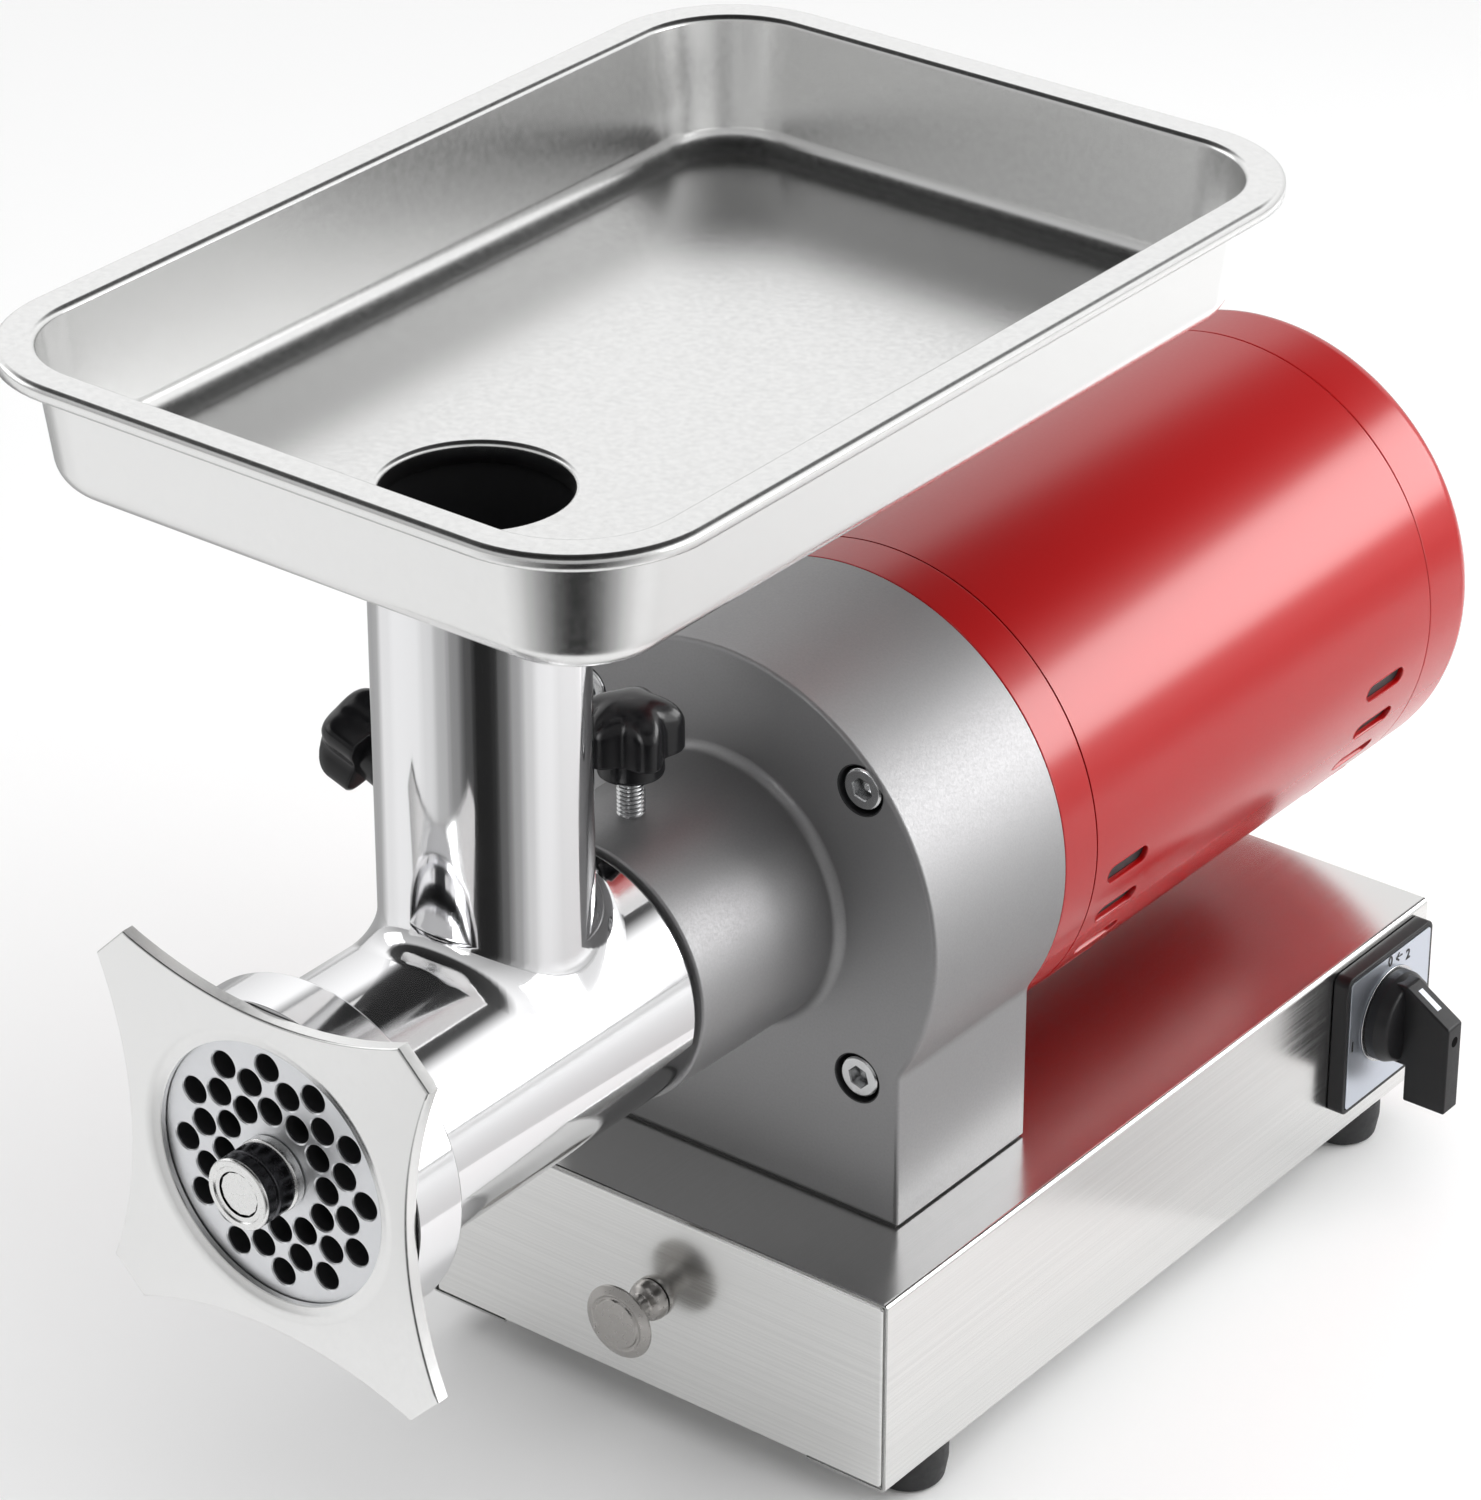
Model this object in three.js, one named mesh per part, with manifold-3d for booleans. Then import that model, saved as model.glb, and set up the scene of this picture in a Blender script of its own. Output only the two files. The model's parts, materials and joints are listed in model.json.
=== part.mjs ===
// Electric meat grinder, millimetres, +Z up.
// The driveline group turns the model so that its own x is to the right, y is up and z is forward,
// and places along the feed screw are stations: distances in front of the base box's front face.

import * as THREE from 'three';
import { mergeVertices } from 'three/addons/utils/BufferGeometryUtils.js';
import Module from 'manifold-3d';

const wasm = await Module();
wasm.setup();

// Fits and cuts
const fitGap = 0.3;
const seamGap = 0.3;
const cutOverrun = 2;
const quarterTurn = Math.PI / 2;
const halfTurn = Math.PI;
const fullTurn = 2 * Math.PI;

// Facets on round shapes
const motorSteps = 28;
const roundSteps = 24;
const smallSteps = 12;
const holeSteps = 8;
const filletSteps = 3;
const cornerSteps = 2;

// Base box
const baseWidth = 168;
const baseDepth = 284;
const baseHeight = 64;
const baseSheet = 1.2;
const baseBend = 2.4;
const baseFlange = 28;
const floorOverlap = 10;

// Rubber feet
const footHeight = 14;
const footTopRadius = 11.8;
const footBottomRadius = 10.5;
const footSideInset = 12.2;
const footFrontInset = 27.8;
const footRearInset = 23.8;
const footCounterRadius = 5;
const footCounterDepth = 6;

// Drawer
const drawerFrontGap = 0.5;
const drawerFrontReturn = 10;
const drawerRearRoom = 80;
const drawerSheet = 1;
const drawerSideGap = 3.4;
const drawerWallHeight = 42;
const drawerLift = 5;
const drawerHem = 3;
const runnerThickness = 1.5;
const runnerLeg = 9;
const runnerHeight = 14;
const runnerSetback = 16;

// Drawer knob
const knobDiscRadius = 11.7;
const knobDiscThickness = 3.4;
const knobDiscEdge = 1.1;
const knobRimWidth = 2.2;
const knobRimDepth = 0.5;
const knobStandOff = 17.5;
const knobNeckRadius = 3.6;
const knobFootRadius = 6.4;
const knobFootHeight = 4.5;
const knobScrewRadius = 2;
const knobScrewHeadRadius = 4;
const knobScrewHeadHeight = 2.4;
const knobScrewGrip = 6;
const knobScrewSlot = 1;

// Gear train: two equal reduction stages that bring the feed screw back in line with the motor
const gearModule = 2.5;
const pinionTeeth = 12;
const wheelTeeth = 28;
const pressureAngle = THREE.MathUtils.degToRad(20);
const addendumShare = 0.9;
const dedendumShare = 1.25;
const toothBacklash = 0.3;
const wheelWidth = 13;
const pinionExtra = 1.5;
const stageGap = 4;
const wheelWebShare = 0.45;
const wheelRimShare = 0.74;
const wheelHubShare = 0.4;

// Gearbox housing
const gasketThickness = 0.6;
const gasketGap = 0.1;
const gasketInset = 1;
const pedestalHalfWidth = 62.8;
const archRadius = 74.9;
const archFillet = 7;
const housingSetback = 32.5;
const housingLength = 62.3;
const housingEdge = 1.2;
const housingFloor = 2.5;
const gearClearance = 0.8;
const coverThickness = 6.4;
const coverLedge = 2.5;

// Neck that takes the head
const neckLength = 59.5;
const neckFrontRadius = 40.4;
const neckRootRadius = 41.4;
const neckFillet = 5.5;
const neckEdge = 1;
const neckRib = 4;

// Housing bolts
const boltReachX = 48.5;
const boltReachY = 46.3;
const boltRadius = 4;
const boltHeadRadius = 6.5;
const boltHeadHeight = 8;
const boltPocketRadius = 7.3;
const boltPocketSink = 0.6;
const boltThread = 13;
const hexKeyShare = 0.52;
const hexKeyDepth = 4.5;

// Bearings and seal of the output spindle
const spindleRadius = 12.5;
const spindleBearingRadius = 26;
const spindleBearingWidth = 15;
const spindleSealWidth = 6.5;
const sealLipRadius = 15;
const driveSquare = 13;
const spindleNose = 2;

// Countershaft
const counterJournalRadius = 6;
const counterBodyRadius = 9;
const counterBearingRadius = 16;
const counterBearingWidth = 8;
const counterBossWall = 3;
const counterSeatDepth = 8.3;

// Motor
const motorRadius = 74.9;
const motorWall = 1.6;
const frontBellLength = 15.9;
const frontBellDisc = 11;
const frontBellRing = 60;
const bellSpigot = 6;
const shellLength = 178.7;
const rearBellLength = 25.9;
const rearBellEdge = 7;
const bellBossWall = 4;
const motorShaftRadius = 7.5;
const motorBearingRadius = 17.5;
const motorBearingWidth = 11;
const shaftPassRadius = 11;

// Vent slots of the motor shell
const ventCount = 4;
const ventFirstAngle = THREE.MathUtils.degToRad(-8.8);
const ventStepAngle = THREE.MathUtils.degToRad(-11.4);
const ventWidth = 5.4;
const ventLength = 20;
const ventFrontInset = 7;
const ventRearInset = 13;

// Stator, rotor and fan
const statorInset = 34;
const statorBoreRadius = 36;
const windingReach = 18;
const windingRadius = 9;
const windingMeanRadius = 49;
const rotorAirGap = 0.6;
const fanWidth = 16;
const fanRadius = 58;
const fanHubRadius = 16;
const fanDisc = 2;
const fanBlades = 6;
const fanBladeThickness = 2.4;
const fanInset = 37.4;
const fanRoom = 5.3;

// Head: barrel and feed tube
const barrelRadius = 39.4;
const barrelBore = 34.4;
const barrelGap = 1.5;
const barrelEdge = 1.2;
const barrelRearWall = 9;
const spigotRadius = 33;
const spigotLength = 32;
const spigotEdge = 1.5;
const headLength = 123.5;
const headThreadRadius = 45.6;
const headThreadLength = 9;
const headFlareLength = 4;
const knifeChamberRadius = 39.8;
const knifeChamberLength = 6.4;
const tubeSetForward = 68.8;
const tubeRadius = 29.1;
const tubeWall = 2.3;
const tubeFootFlare = 8;
const tubeFootSink = 0.3;
const bushRadius = 13;

// Grinding plate
const plateRadius = 41;
const plateThickness = 8.1;
const plateSeatDepth = 4.5;
const plateHoleRadius = 4;
const plateRingRadii = [17.7, 25.1, 30.8];
const plateRingCount = 12;
const platePhase = THREE.MathUtils.degToRad(2.5);
const plateCentreRadius = 9.4;
const bushingRadius = 10.7;
const bushingLength = 14.6;
const bushingBore = 6.6;
const bushingEdge = 0.8;
const bushingGroove = 0.7;
const bushingGrooveWidth = 1;
const bushingGrooveSetback = 4;
const keyRadius = 2;
const keyLength = 8;

// Ring nut
const collarRadius = 48.8;
const collarBore = 46;
const collarLength = 17.2;
const collarEdge = 1.2;
const flangeHalf = 56.7;
const flangeCorner = 46.9;
const flangeHollow = 9;
const flangeThickness = 4;
const flangeOpening = 38;
const flangeDish = 1.2;
const flangeDishWidth = 3;
const flangeRelief = 0.8;
const flangeEdge = 0.5;
const flangeSideSteps = 5;

// Feed screw and knife
const screwClearance = 0.9;
const screwRootFront = 15;
const screwRootRear = 12;
const screwTurns = 2.6;
const screwRings = 26;
const screwRingPoints = 12;
const flightShare = 0.16;
const flightFlankShare = 0.1;
const pitchGrowthShare = 0.25;
const screwCollarRadius = 20;
const screwCollarLength = 4;
const screwJournalRadius = 12.4;
const screwTailLength = 26;
const screwPinRadius = 6.2;
const screwPinSink = 0.9;
const knifeSquare = 12;
const knifeThickness = 6;
const knifeReach = 38;
const knifeHubRadius = 13;
const knifeBladeWidth = 12;
const knifeTipWidth = 9;
const knifeBlades = 4;

// Tray
const trayHalfWidth = 109.5;
const trayFront = 153.5;
const trayBack = 167.1;
const trayDepth = 38.7;
const traySheet = 1.2;
const trayRim = 10.5;
const trayCorner = 40;
const trayDraft = 4.5;
const trayBottomFillet = 8;
const trayRimRoll = 3.6;
const trayRimFillet = 1.6;
const trayCornerSteps = 5;
const trayCollarReach = 6;
const trayLipEdge = 0.9;
const trayFloorAboveBase = 255.5;

// Clamp screws of the neck
const clampStation = 7.3;
const studRadius = 4;
const studExposed = 10.4;
const sideBossReach = 23;
const sideBossRadius = 11;
const sideBossEdge = 1.5;
const sideStudExposed = 23;
const sideClampAngle = THREE.MathUtils.degToRad(72);
const gripHubRadius = 8.8;
const gripHubHeight = 6.5;
const gripHeight = 11.6;
const gripDome = 2.6;
const gripLobes = 5;
const gripLobeMean = 12.9;
const gripLobeWave = 2.1;
const gripEdge = 1.2;
const gripSteps = 25;
const studEmbed = 12;

// Cam switch
const switchRearInset = 30;
const switchDrop = 25;
const bezelSize = 46;
const bezelDepth = 5.5;
const bezelCorner = 3;
const bezelEdge = 0.6;
const bezelFrame = 1.4;
const plateSheet = 0.8;
const switchDiscRadius = 16;
const switchDiscHeight = 8;
const switchGripHalf = 4;
const switchGripReach = 23.9;
const switchGripTop = 14;
const switchGripSlope = 4;
const switchGripTail = 26.5;
const switchGripStart = 9;
const switchGripEdge = 0.8;
const switchShaftRadius = 3.5;
const switchShaftEmbed = 5;
const switchNeckRadius = 14;
const switchBodySize = 40;
const switchBodyDepth = 38;
const switchBodyEdge = 2;
const switchShaftSink = 12;

// Capacitor and cable gland
const capacitorRadius = 18;
const capacitorLength = 62;
const capacitorSideInset = 62;
const capacitorRearInset = 34;
const capacitorEdge = 2.5;
const capacitorTerminal = 3;
const capacitorTerminalHeight = 6;
const clampBand = 1.2;
const clampWidth = 12;
const clampFootLength = 10;
const glandSideInset = 50;
const glandDrop = 34;
const glandRadius = 8;
const glandHexRadius = 11.5;
const glandHexLength = 5;
const glandDomeLength = 9;
const glandDomeRadius = 9.4;
const glandThreadLength = 8;
const glandBore = 4;
const glandDomeEdge = 2.5;

// Heights and stations that follow from the sizes above
const baseTop = footHeight + baseHeight;
const drawerLength = baseDepth - drawerRearRoom;
const switchSetback = baseDepth - switchRearInset;
const statorLength = shellLength - statorInset - windingReach - fanRoom - fanInset;
const pedestalBottom = baseTop + 2 * gasketGap + gasketThickness;
const stageDistance = gearModule * (pinionTeeth + wheelTeeth) / 2;
const wheelTipRadius = gearModule * (wheelTeeth / 2 + addendumShare);
const counterHeight = pedestalBottom + housingFloor + gearClearance + wheelTipRadius;
const axisHeight = counterHeight + stageDistance;
const housingFront = -housingSetback;
const housingRear = housingFront - housingLength;
const neckFront = housingFront + neckLength;
const chamberRadius = wheelTipRadius + gearClearance;
const coverRear = housingRear + fitGap;
const coverFront = coverRear + coverThickness;
const barrelRear = neckFront + barrelGap;
const spigotRear = barrelRear - spigotLength;
const headFront = barrelRear + headLength;
const plateFront = headFront - plateSeatDepth + plateThickness;
const plateRear = headFront - plateSeatDepth + fitGap;
const knifeChamberRear = headFront - plateSeatDepth - knifeChamberLength;
const flangeRear = plateFront - flangeRelief + fitGap;
const flangeFront = flangeRear + flangeThickness;
const bushingFront = plateFront + bushingLength;
const sealFront = spigotRear - neckRib;
const frontBearing = sealFront - spindleSealWidth - fitGap;
const rearBearing = frontBearing - spindleBearingWidth - fitGap;
const bearingBossRear = rearBearing - spindleBearingWidth - fitGap;
const outputWheelFront = bearingBossRear - gearClearance;
const outputWheelRear = outputWheelFront - wheelWidth;
const counterWheelFront = outputWheelRear - stageGap;
const counterWheelRear = counterWheelFront - wheelWidth;
const frontBellFront = housingRear - fitGap;
const shellFront = housingRear - frontBellLength;
const shellRear = shellFront - shellLength;
const rearBellRear = shellRear - rearBellLength;
const screwTail = spigotRear - screwTailLength;
const statorFront = shellFront - statorInset;
const statorRear = statorFront - statorLength;
const trayFloor = baseTop + trayFloorAboveBase;
const trayRimTop = trayFloor + trayDepth;
const tubeTop = trayFloor - traySheet - fitGap;
const switchHeight = baseTop - switchDrop;
const trayHoleRadius = tubeRadius - tubeWall - fitGap - traySheet;

// Finishes
function paint(color, roughness, metalness) {
  return new THREE.MeshStandardMaterial({ color, roughness, metalness });
}

const polishedSteel = paint(0xd8d9da, 0.12, 1);
const satinSteel = paint(0xc4c5c6, 0.32, 1);
const brushedSteel = paint(0xc9c9c8, 0.38, 1);
const castSilver = paint(0x9a9b9c, 0.55, 0.6);
const redPaint = paint(0xb5101c, 0.28, 0.35);
const blackPlastic = paint(0x101113, 0.3, 0);
const blackRubber = paint(0x161616, 0.8, 0);
const zincSteel = paint(0xb8babb, 0.35, 1);
const gearSteel = paint(0x8f9294, 0.4, 1);
const darkSteel = paint(0x3b3d40, 0.4, 1);
const copper = paint(0xb06a3a, 0.4, 1);
const silverPlate = paint(0xc9ced6, 0.3, 0.8);
const plateSteel = paint(0xbfc1c3, 0.42, 0.9);
const whitePlastic = paint(0xd9d6cc, 0.5, 0);
const gasketPaper = paint(0x2c2c2c, 0.9, 0);

// Joining and cutting

function closedMesh(geometry) {
  const bare = geometry.clone();
  bare.deleteAttribute('normal');
  bare.deleteAttribute('uv');
  const merged = mergeVertices(bare);
  const index = merged.index.array;
  const kept = [];
  for (let i = 0; i < index.length; i += 3) {
    const [a, b, c] = [index[i], index[i + 1], index[i + 2]];
    if (a !== b && b !== c && c !== a) kept.push(a, b, c);
  }
  merged.setIndex(kept);
  return facingOut(merged);
}

function facingOut(geometry) {
  const place = geometry.attributes.position;
  const index = geometry.index.array;
  const [a, b, c] = [new THREE.Vector3(), new THREE.Vector3(), new THREE.Vector3()];
  let volume = 0;
  for (let i = 0; i < index.length; i += 3) {
    a.fromBufferAttribute(place, index[i]);
    b.fromBufferAttribute(place, index[i + 1]);
    c.fromBufferAttribute(place, index[i + 2]);
    volume += a.dot(b.cross(c));
  }
  if (volume < 0) geometry.setIndex(Array.from(index).reverse());
  return geometry;
}

function toSolid(form) {
  if (!form.isBufferGeometry) return form;
  const mesh = closedMesh(form);
  const vertProperties = new Float32Array(mesh.attributes.position.array);
  const triVerts = new Uint32Array(mesh.index.array);
  return new wasm.Manifold(new wasm.Mesh({ numProp: 3, vertProperties, triVerts }));
}

function toGeometry(form) {
  if (form.isBufferGeometry) return closedMesh(form);
  const { vertProperties, triVerts } = form.getMesh();
  const geometry = new THREE.BufferGeometry();
  geometry.setAttribute('position', new THREE.BufferAttribute(vertProperties, 3));
  geometry.setIndex(new THREE.BufferAttribute(triVerts, 1));
  return geometry;
}

const join = (...forms) => forms.map(toSolid).reduce((whole, form) => whole.add(form));
const cut = (body, ...tools) => tools.reduce((rest, tool) => rest.subtract(toSolid(tool)), toSolid(body));

// Shapes

// A profile of [radius, height] pairs, revolved about the group's y axis
function turned(profile, steps = roundSteps) {
  const points = profile.map(([radius, height]) => new THREE.Vector2(radius, height));
  const onAxis = points[0].x === 0 && points.at(-1).x === 0;
  if (!onAxis) points.push(points[0].clone());
  return new THREE.LatheGeometry(points, steps);
}

// The same, revolved about the z axis, so that heights are stations
const revolved = (profile, steps) => turned(profile, steps).rotateX(quarterTurn);

function rod(radius, from, to, steps = smallSteps) {
  return revolved([[0, from], [radius, from], [radius, to], [0, to]], steps);
}

function tube(inner, outer, from, to, steps = roundSteps) {
  return revolved([[inner, from], [outer, from], [outer, to], [inner, to]], steps);
}

// Radius of a faceted bore whose flats lie on the given radius
const boreRadius = (radius, steps) => radius / Math.cos(halfTurn / steps);

// A shape drawn in x and y, extruded from one station to another
function prism(shape, from, to, curveSegments = cornerSteps / 2) {
  return new THREE.ExtrudeGeometry(shape, { depth: to - from, bevelEnabled: false, curveSegments })
    .translate(0, 0, from);
}

function edgedPrism(shape, from, to, edge, curveSegments = cornerSteps / 2) {
  return new THREE.ExtrudeGeometry(shape, {
    depth: to - from - 2 * edge,
    bevelEnabled: true,
    bevelThickness: edge,
    bevelSize: edge,
    bevelOffset: -edge,
    bevelSegments: 1,
    curveSegments,
  }).translate(0, 0, from + edge);
}

// A plan shape drawn in x and distance behind the front face, raised from one height to another
const slab = (shape, from, to, curveSegments) => prism(shape, from, to, curveSegments).rotateX(-quarterTurn);

function rectangle(left, right, low, high) {
  return new THREE.Shape()
    .moveTo(left, low)
    .lineTo(right, low)
    .lineTo(right, high)
    .lineTo(left, high)
    .closePath();
}

function roundedRectangle(left, right, low, high, radius) {
  const shape = new THREE.Shape();
  shape.absarc(right - radius, low + radius, radius, -quarterTurn, 0);
  shape.absarc(right - radius, high - radius, radius, 0, quarterTurn);
  shape.absarc(left + radius, high - radius, radius, quarterTurn, halfTurn);
  shape.absarc(left + radius, low + radius, radius, halfTurn, halfTurn + quarterTurn);
  return shape.closePath();
}

function polygon(points) {
  return new THREE.Shape(points.map(([x, y]) => new THREE.Vector2(x, y)));
}

// Points along an arc
function arc(x, y, radius, from, to, steps) {
  return Array.from({ length: steps + 1 }, (_, i) => {
    const angle = from + (to - from) * i / steps;
    return [x + radius * Math.cos(angle), y + radius * Math.sin(angle)];
  });
}

const circle = (radius, steps, x = 0, y = 0) => polygon(arc(x, y, radius, 0, fullTurn, steps).slice(1));

const hexagon = (radius) => circle(radius, 6);

// Closed skin over a row of loops with equal point counts, capped flat at both ends
function lofted(loops) {
  const count = loops[0].length;
  const position = loops.flat().flatMap((point) => [point.x, point.y, point.z]);
  const index = [];
  for (let row = 0; row < loops.length - 1; row += 1) {
    for (let i = 0; i < count; i += 1) {
      const here = row * count + i;
      const next = row * count + (i + 1) % count;
      index.push(here, next, next + count, here, next + count, here + count);
    }
  }
  const last = (loops.length - 1) * count;
  for (let i = 1; i < count - 1; i += 1) {
    index.push(0, i + 1, i, last, last + i, last + i + 1);
  }
  const geometry = new THREE.BufferGeometry();
  geometry.setAttribute('position', new THREE.Float32BufferAttribute(position, 3));
  geometry.setIndex(index);
  return geometry;
}

// Tree of the model

const grinder = new THREE.Group();
const driveline = new THREE.Group();
driveline.rotation.x = quarterTurn;
grinder.add(driveline);

function line(height, parent = driveline) {
  const group = new THREE.Group();
  group.position.y = height;
  parent.add(group);
  return group;
}

const feedLine = line(axisHeight);
const motorLine = line(axisHeight);
const counterLine = line(counterHeight);

function piece(parent, name, form, material) {
  const mesh = new THREE.Mesh(toGeometry(form), material);
  mesh.name = name;
  parent.add(mesh);
  return mesh;
}

// Base box

function baseShell() {
  const side = baseWidth / 2;
  const inner = side - baseSheet;
  const low = footHeight;
  const innerTop = baseTop - baseSheet;
  const innerBend = baseBend - baseSheet;
  const wrap = new THREE.Shape();
  wrap.moveTo(side - baseFlange, low);
  wrap.lineTo(side, low);
  wrap.absarc(side - baseBend, baseTop - baseBend, baseBend, 0, quarterTurn);
  wrap.absarc(-side + baseBend, baseTop - baseBend, baseBend, quarterTurn, halfTurn);
  wrap.lineTo(-side, low);
  wrap.lineTo(-side + baseFlange, low);
  wrap.lineTo(-side + baseFlange, low + baseSheet);
  wrap.lineTo(-inner, low + baseSheet);
  wrap.absarc(-inner + innerBend, innerTop - innerBend, innerBend, halfTurn, quarterTurn, true);
  wrap.absarc(inner - innerBend, innerTop - innerBend, innerBend, quarterTurn, 0, true);
  wrap.lineTo(inner, low + baseSheet);
  wrap.lineTo(side - baseFlange, low + baseSheet);
  const rear = new THREE.Shape();
  rear.moveTo(-side, low);
  rear.lineTo(side, low);
  rear.absarc(side - baseBend, baseTop - baseBend, baseBend, 0, quarterTurn);
  rear.absarc(-side + baseBend, baseTop - baseBend, baseBend, quarterTurn, halfTurn);
  const notchDepth = drawerFrontReturn + baseSheet;
  const notch = rectangle(-inner, inner, low - cutOverrun, low + 2 * baseSheet);
  const switchHole = rod(switchNeckRadius + fitGap, 0, baseFlange)
    .rotateY(quarterTurn)
    .translate(side - baseFlange / 2, switchHeight, -switchSetback);
  const glandHole = rod(glandRadius + fitGap, -baseDepth - cutOverrun, -baseDepth + cutOverrun)
    .translate(-side + glandSideInset, baseTop - glandDrop, 0);
  return cut(
    join(prism(wrap, -baseDepth, 0), prism(rear, -baseDepth, -baseDepth + baseSheet)),
    prism(notch, -notchDepth, cutOverrun),
    switchHole,
    glandHole,
  );
}

function baseFloor() {
  const half = baseWidth / 2 - baseFlange + floorOverlap;
  const front = drawerFrontReturn + 2 * baseSheet;
  const rear = baseDepth - baseSheet - fitGap;
  const low = footHeight + baseSheet + fitGap;
  return slab(rectangle(-half, half, front, rear), low, low + baseSheet);
}

function foot() {
  const top = footHeight - fitGap;
  return turned([
    [0, footCounterDepth],
    [footCounterRadius, footCounterDepth],
    [footCounterRadius, 0],
    [footBottomRadius, 0],
    [footTopRadius, top],
    [0, top],
  ], smallSteps);
}

piece(driveline, 'base_shell', baseShell(), brushedSteel);
piece(driveline, 'base_floor', baseFloor(), brushedSteel);
for (const [name, sign, setback] of [
  ['foot_front_left', -1, footFrontInset],
  ['foot_front_right', 1, footFrontInset],
  ['foot_rear_left', -1, baseDepth - footRearInset],
  ['foot_rear_right', 1, baseDepth - footRearInset],
]) {
  piece(driveline, name, foot(), blackRubber)
    .position.set(sign * (baseWidth / 2 - footSideInset), 0, -setback);
}

// Drawer

const drawerGroup = line(0);
const drawerBottom = footHeight + 2 * baseSheet + drawerLift;
const drawerHalf = baseWidth / 2 - baseSheet - drawerSideGap;
const knobHeight = footHeight + baseHeight / 2;

function drawerFront() {
  const half = baseWidth / 2 - baseSheet - drawerFrontGap;
  const low = footHeight + drawerFrontGap;
  const high = baseTop - baseSheet - drawerFrontGap;
  const outer = rectangle(-half, half, low, high);
  const inner = rectangle(-half + baseSheet, half - baseSheet, low + baseSheet, high - baseSheet);
  return cut(
    prism(outer, -drawerFrontReturn, 0),
    prism(inner, -drawerFrontReturn - cutOverrun, -baseSheet),
    rod(knobScrewRadius + fitGap, -drawerFrontReturn, cutOverrun).translate(0, knobHeight, 0),
  );
}

function drawerBox() {
  const front = baseSheet + fitGap;
  const rear = front + drawerLength;
  const top = drawerBottom + drawerWallHeight;
  const outer = rectangle(-drawerHalf, drawerHalf, front, rear);
  const inner = rectangle(
    -drawerHalf + drawerSheet,
    drawerHalf - drawerSheet,
    front + drawerSheet,
    rear - drawerSheet,
  );
  const hem = rectangle(
    -drawerHalf + 2 * drawerSheet,
    drawerHalf - 2 * drawerSheet,
    front + drawerSheet,
    rear - 2 * drawerSheet,
  );
  const hollow = slab(inner, drawerBottom + drawerSheet, top - drawerHem);
  const mouth = slab(hem, top - 2 * drawerHem, top + cutOverrun);
  const screwHole = rod(knobScrewRadius + fitGap, -front - cutOverrun, cutOverrun)
    .translate(0, knobHeight, 0);
  return cut(slab(outer, drawerBottom, top), hollow, mouth, screwHole);
}

function drawerKnob() {
  const face = knobStandOff;
  const back = face - knobDiscThickness;
  const stem = knobScrewRadius + fitGap;
  return revolved([
    [0, knobScrewGrip + fitGap],
    [stem, knobScrewGrip + fitGap],
    [stem, fitGap],
    [knobFootRadius, fitGap],
    [knobNeckRadius + knobDiscEdge, knobFootHeight],
    [knobNeckRadius, back - 2 * knobDiscEdge],
    [knobDiscRadius - knobDiscEdge, back],
    [knobDiscRadius, back + knobDiscEdge],
    [knobDiscRadius, face - knobDiscEdge],
    [knobDiscRadius - knobDiscEdge, face],
    [knobDiscRadius - knobRimWidth, face - knobRimDepth],
    [0, face - knobRimDepth],
  ], smallSteps);
}

function drawerKnobScrew() {
  const seat = -baseSheet - drawerSheet - 2 * fitGap;
  const slot = rectangle(-knobScrewHeadRadius, knobScrewHeadRadius, -knobScrewSlot / 2, knobScrewSlot / 2);
  const headBack = seat - knobScrewHeadHeight;
  const screw = revolved([
    [0, headBack],
    [knobScrewHeadRadius - knobScrewSlot, headBack],
    [knobScrewHeadRadius, headBack + knobScrewSlot],
    [knobScrewHeadRadius, seat],
    [knobScrewRadius, seat],
    [knobScrewRadius, knobScrewGrip],
    [0, knobScrewGrip],
  ], smallSteps / 2);
  return cut(screw, prism(slot, headBack - cutOverrun, headBack + knobScrewSlot));
}

function runner(sign) {
  const wall = baseWidth / 2 - baseSheet - fitGap;
  const legTop = drawerBottom - fitGap;
  const legLow = legTop - runnerThickness;
  const low = footHeight + 2 * baseSheet + 2 * fitGap;
  const outline = polygon([
    [wall, low],
    [wall, legLow + runnerHeight],
    [wall - runnerThickness, legLow + runnerHeight],
    [wall - runnerThickness, legTop],
    [wall - runnerLeg, legTop],
    [wall - runnerLeg, legLow],
    [wall - runnerThickness, legLow],
    [wall - runnerThickness, low],
  ]);
  const rail = prism(outline, -runnerSetback - drawerLength, -runnerSetback);
  return sign > 0 ? rail : rail.rotateY(halfTurn).translate(0, 0, -2 * runnerSetback - drawerLength);
}

piece(drawerGroup, 'drawer_front', drawerFront(), brushedSteel);
piece(drawerGroup, 'drawer_box', drawerBox(), brushedSteel);
piece(drawerGroup, 'drawer_knob', drawerKnob(), satinSteel).position.y = knobHeight;
piece(drawerGroup, 'drawer_knob_screw', drawerKnobScrew(), zincSteel).position.y = knobHeight;
piece(driveline, 'drawer_runner_left', runner(-1), zincSteel);
piece(driveline, 'drawer_runner_right', runner(1), zincSteel);

// Gearbox housing: an arch on a narrower pedestal, with the neck that takes the head

function housingOutline() {
  const meetX = pedestalHalfWidth + archFillet;
  const meetDrop = Math.sqrt((archRadius + archFillet) ** 2 - meetX ** 2);
  const meetY = axisHeight - meetDrop;
  const lean = Math.atan2(meetDrop, meetX);
  return polygon([
    [-pedestalHalfWidth, pedestalBottom],
    [pedestalHalfWidth, pedestalBottom],
    ...arc(meetX, meetY, archFillet, halfTurn, halfTurn - lean, filletSteps),
    ...arc(0, axisHeight, archRadius, -lean, halfTurn + lean, roundSteps).slice(1, -1),
    ...arc(-meetX, meetY, archFillet, lean, 0, filletSteps),
  ]);
}

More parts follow.
